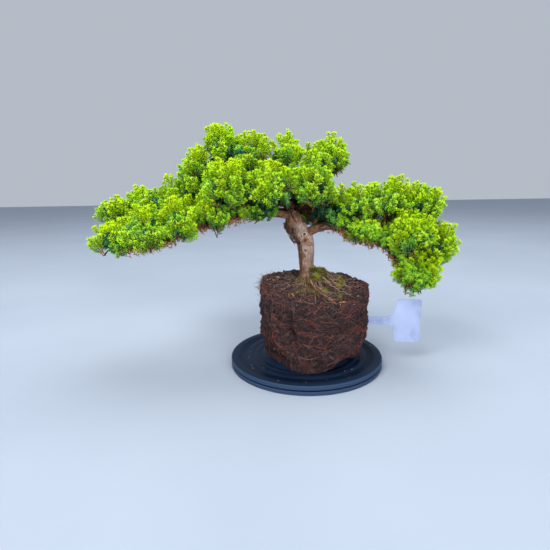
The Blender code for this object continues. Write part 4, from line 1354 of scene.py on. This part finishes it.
def make_surface_roots(ball, bark, steps=22):
    """The stout roots that flare from the trunk's foot."""
    rng = np.random.default_rng(55)
    bearings = np.radians((-8, -34, -62, -95, -140, 172, 120, 60, 22))
    count = len(bearings)
    starts = ball.on_soil(polar(bearings, 7) * MM) + UP * 1.5 * MM
    stride = rng.uniform(0.8, 1.9, count) * MM
    paths = crawl(ball, starts, polar(bearings, 1.0), steps, stride, 0.13, 0.4 * MM, rng)
    thick = rng.uniform(0.8, 1.5, count)
    vertices, triangles, peel = root_tubes(paths, thick, np.linspace(1, 0.2, steps), np.zeros(count), 10, rng)
    furrow = np.clip(0.42 + 0.25 * bumps(vertices, 2 * MM, 8), 0, 1)
    make_piece("surface_roots", (vertices, triangles, furrow, peel), bark, ("furrow", "peel"))


# ---------------------------------------------------------------- soil litter and moss

CRUMBS, FALLEN_CRUMBS, STRAWS = 2100, 70, 46
MOSS_TUFTS, CLIMBING_TUFTS, MOSS_LEAVES = 1300, 230, 15


def pebble(seed):
    """A lumpy little stone about one across, as vertices and triangles."""
    rng = np.random.default_rng(seed)
    builder = bmesh.new()
    bmesh.ops.create_icosphere(builder, subdivisions=2, radius=1)
    vertices = np.array([v.co[:] for v in builder.verts])
    triangles = np.array([[v.index for v in f.verts] for f in builder.faces])
    builder.free()
    shape = rng.uniform(0.55, 1.0, 3)
    lump = 1 + 0.22 * bumps(vertices, 0.7, seed)
    return vertices * shape * lump[:, None], triangles


def make_litter(ball, litter):
    """Crumbs, grit, straw and bark chips on the soil, and the crumbs that fell on the disc."""
    rng = np.random.default_rng(77)
    stones = [pebble(k) for k in range(6)]
    parts = []
    count = CRUMBS
    turn = rng.uniform(0, math.tau, count)
    away = 66 * np.sqrt(rng.random(count)) * MM
    places = ball.on_soil(ball.centre + polar(turn, away))
    kind = rng.choice((0.02, 0.25, 0.5, 0.8, 1.0), count, p=(0.60, 0.24, 0.12, 0.03, 0.01))
    size = rng.uniform(0.4, 1.1, count) * MM * np.where(kind < 0.4, 1.3, 0.75)
    fallen = FALLEN_CRUMBS
    turn = rng.uniform(0, math.tau, fallen)
    away = rng.uniform(68, 96, fallen) * MM
    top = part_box("turntable_top")[1][2] - np.where(away < 89 * MM, 0.5, 0.0) * MM
    places = np.concatenate([places, np.column_stack([polar(turn, away)[:, :2], top])])
    size = np.concatenate([size, rng.uniform(0.25, 0.7, fallen) * MM])
    kind = np.concatenate([kind, rng.choice((0.1, 0.5, 0.85), fallen, p=(0.5, 0.25, 0.25))])
    for place, extent, shade in zip(places, size, kind):
        vertices, triangles = stones[rng.integers(len(stones))]
        spin = np.array(Matrix.Rotation(rng.uniform(0, math.tau), 3, Vector(rng.normal(size=3))))
        lifted = vertices @ spin.T * extent + place
        lifted[:, 2] += extent * 0.45
        parts.append((lifted, triangles, np.full(len(vertices), shade)))
    straws = STRAWS
    turn = rng.uniform(0, math.tau, straws)
    away = rng.uniform(12, 62, straws) * MM
    starts = ball.on_soil(ball.centre + polar(turn, away))
    ways = unit(rng.normal(size=(straws, 3)) * (1, 1, 0.1))
    paths = crawl(ball, starts, ways, 6, rng.uniform(0.8, 2.6, straws) * MM, 0.08, 0.9 * MM, rng)
    radii = rng.uniform(0.3, 0.75, straws)[:, None] * np.array((0.4, 1, 1, 1, 0.9, 0.3))[None] * MM
    vertices, triangles = tubes(paths, radii, 5, rng)
    shade = rng.choice((0.55, 0.7, 0.8), straws, p=(0.4, 0.3, 0.3))
    parts.append((vertices, triangles, np.repeat(shade, 6 * 5)))
    make_piece("soil_litter", join_meshes(parts), litter, ("kind",))


def make_moss(ball, moss):
    """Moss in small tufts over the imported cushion's footprint, thinning out, and up the trunk's foot."""
    rng = np.random.default_rng(91)
    low, high = (np.array(corner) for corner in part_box("moss"))
    centre = (low + high) / 2 - np.array((6, 8, 0)) * MM
    half = (high - low) / 2 * (0.9, 1.25, 1)
    count = MOSS_TUFTS
    spread = np.clip(rng.normal(0, 0.6, (count, 2)), -1.5, 1.5)
    x = centre[0] + spread[:, 0] * half[0]
    y = centre[1] + spread[:, 1] * half[1]
    dome = np.clip(1 - (spread ** 2).sum(axis=1), 0, 1)
    clump = np.clip(0.6 + 0.7 * bumps(np.stack([x, y, 0 * x], axis=1), 7 * MM, 5), 0.1, 1.2)
    z = ball.height_at(x, y) + (0.6 + dome * clump * 3.0) * MM
    climbing = CLIMBING_TUFTS
    turn = np.radians(rng.normal(-28, 34, climbing))
    rise = rng.exponential(7.5, climbing) * MM
    x = np.concatenate([x, 2 * MM + 9.0 * MM * np.cos(turn)])
    y = np.concatenate([y, 9.0 * MM * np.sin(turn)])
    z = np.concatenate([z, FOOT[2] + np.clip(rise, 0, 17 * MM)])
    dome = np.concatenate([dome, np.full(climbing, 0.3)])
    clump = np.concatenate([clump, rng.uniform(0.45, 1.15, climbing)])
    tufts = np.stack([x, y, z], axis=1)
    bright = np.clip(rng.normal(0.75, 0.28, len(x)) + 0.3 * bumps(tufts, 4 * MM, 6), 0.1, 1.1)
    each = np.repeat(np.arange(len(x)), MOSS_LEAVES)
    bases = tufts[each] + rng.normal(0, 0.9, (len(each), 3)) * (1, 1, 0.5) * MM
    ways = unit(rng.normal(0, 0.6, (len(each), 3)) + UP)
    length = rng.uniform(1.4, 3.9, (len(each), 1)) * clump[each][:, None] * MM
    vertices, triangles = spikes(bases - ways * MM, bases + ways * length, np.full(len(each), 0.6 * MM), rng)
    start = np.clip(0.25 * clump[each] + 0.1 * dome[each], 0, 1)
    end = np.clip((0.2 + 0.7 * clump[each]) * bright[each] + rng.normal(0, 0.12, len(each)), 0, 1)
    age = np.stack([start, start, start, end], axis=1).ravel()
    lump_age = 0.18
    meshes = [(vertices, triangles, age)]
    stones = [pebble(60 + k) for k in range(4)]
    for i in range(0, count, 4):
        shape, faces = stones[i % 4]
        size = np.array((2.4, 2.4, 1.1)) * MM * clump[i]
        meshes.append((shape * size + (x[i], y[i], z[i] - 0.8 * MM), faces, np.full(len(shape), lump_age)))
    make_piece("moss_cushion", join_meshes(meshes), moss, ("age",), nodes=("moss",))


# ---------------------------------------------------------------- label

def make_label(plastic):
    """A thin T-shaped label with rounded corners, a soft edge and a slight bow."""
    low, high = (np.array(corner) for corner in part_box("plant_label"))
    stem = 5.5 * MM
    tilt = math.radians(1.5)
    head_half = 29 * MM
    head_width = 33 * MM
    length = high[0] - low[0]
    neck = length - head_width
    corner = 3.2 * MM
    outline = [(0.0, stem * 0.5), (3 * MM, stem), (neck - 11 * MM, stem)]
    outline += [(neck + x * MM, z * MM) for x, z in ((-7, 6.3), (-4, 8.6), (-2, 12), (-0.8, 16.5), (0.2, 22))]
    outline += rounded((neck + 0.8 * MM + corner, head_half - corner), corner, 172, 90, 6)
    outline += rounded((length - corner, head_half - corner), corner, 90, 0, 8)
    lower = [(x, -z) for x, z in reversed(outline)]
    flat = np.array(outline + lower)
    builder = bmesh.new()
    middle_y = (low[1] + high[1]) / 2
    thick = 0.8 * MM
    loop = [builder.verts.new((x, -thick / 2, z)) for x, z in flat]
    face = builder.faces.new(loop)
    made = bmesh.ops.extrude_face_region(builder, geom=[face])
    moved = [g for g in made["geom"] if isinstance(g, bmesh.types.BMVert)]
    bmesh.ops.translate(builder, verts=moved, vec=(0, thick, 0))
    bmesh.ops.recalc_face_normals(builder, faces=builder.faces)
    rim = [e for e in builder.edges if abs(e.verts[0].co.y - e.verts[1].co.y) < 1e-7]
    bmesh.ops.bevel(builder, geom=rim, offset=0.22 * MM, segments=2, affect="EDGES")
    bmesh.ops.triangulate(builder, faces=builder.faces)
    for _ in range(3):
        long_edges = [e for e in builder.edges if e.calc_length() > 6 * MM]
        if long_edges:
            bmesh.ops.subdivide_edges(builder, edges=long_edges, cuts=1)
    bmesh.ops.triangulate(builder, faces=builder.faces)
    centre_z = (low[2] + high[2]) / 2
    for vert in builder.verts:
        bow = 0.9 * MM * math.sin(math.pi * min(1, max(0, vert.co.x / length)))
        x = vert.co.x * math.cos(tilt) + vert.co.z * math.sin(tilt)
        z = vert.co.z * math.cos(tilt) - vert.co.x * math.sin(tilt)
        vert.co = (low[0] + x, middle_y + vert.co.y + bow, centre_z + z + length * math.sin(tilt) / 2)
    mesh = bpy.data.meshes.new("label_plate")
    builder.to_mesh(mesh)
    builder.free()
    mesh.shade_smooth()
    mesh.set_sharp_from_angle(angle=math.radians(50))
    add_piece("label_plate", mesh, plastic, ("plant_label",))


# ---------------------------------------------------------------- the scene

def main():
    bpy.context.scene.view_settings.view_transform = "Standard"
    add_camera()
    add_lights()
    add_floor()
    bark = juniper_bark()
    lines = make_limbs(bark)
    make_foliage(juniper_growth(), dry_growth(), lines)
    make_turntable(moulded_disc())
    finish_bearing(ground_steel(), cage_nylon())
    ball = RootBall()
    make_roots(ball, potting_mix(), root_fibre())
    make_surface_roots(ball, bark)
    make_litter(ball, soil_litter())
    make_moss(ball, cushion_moss())
    make_label(label_plastic())


main()
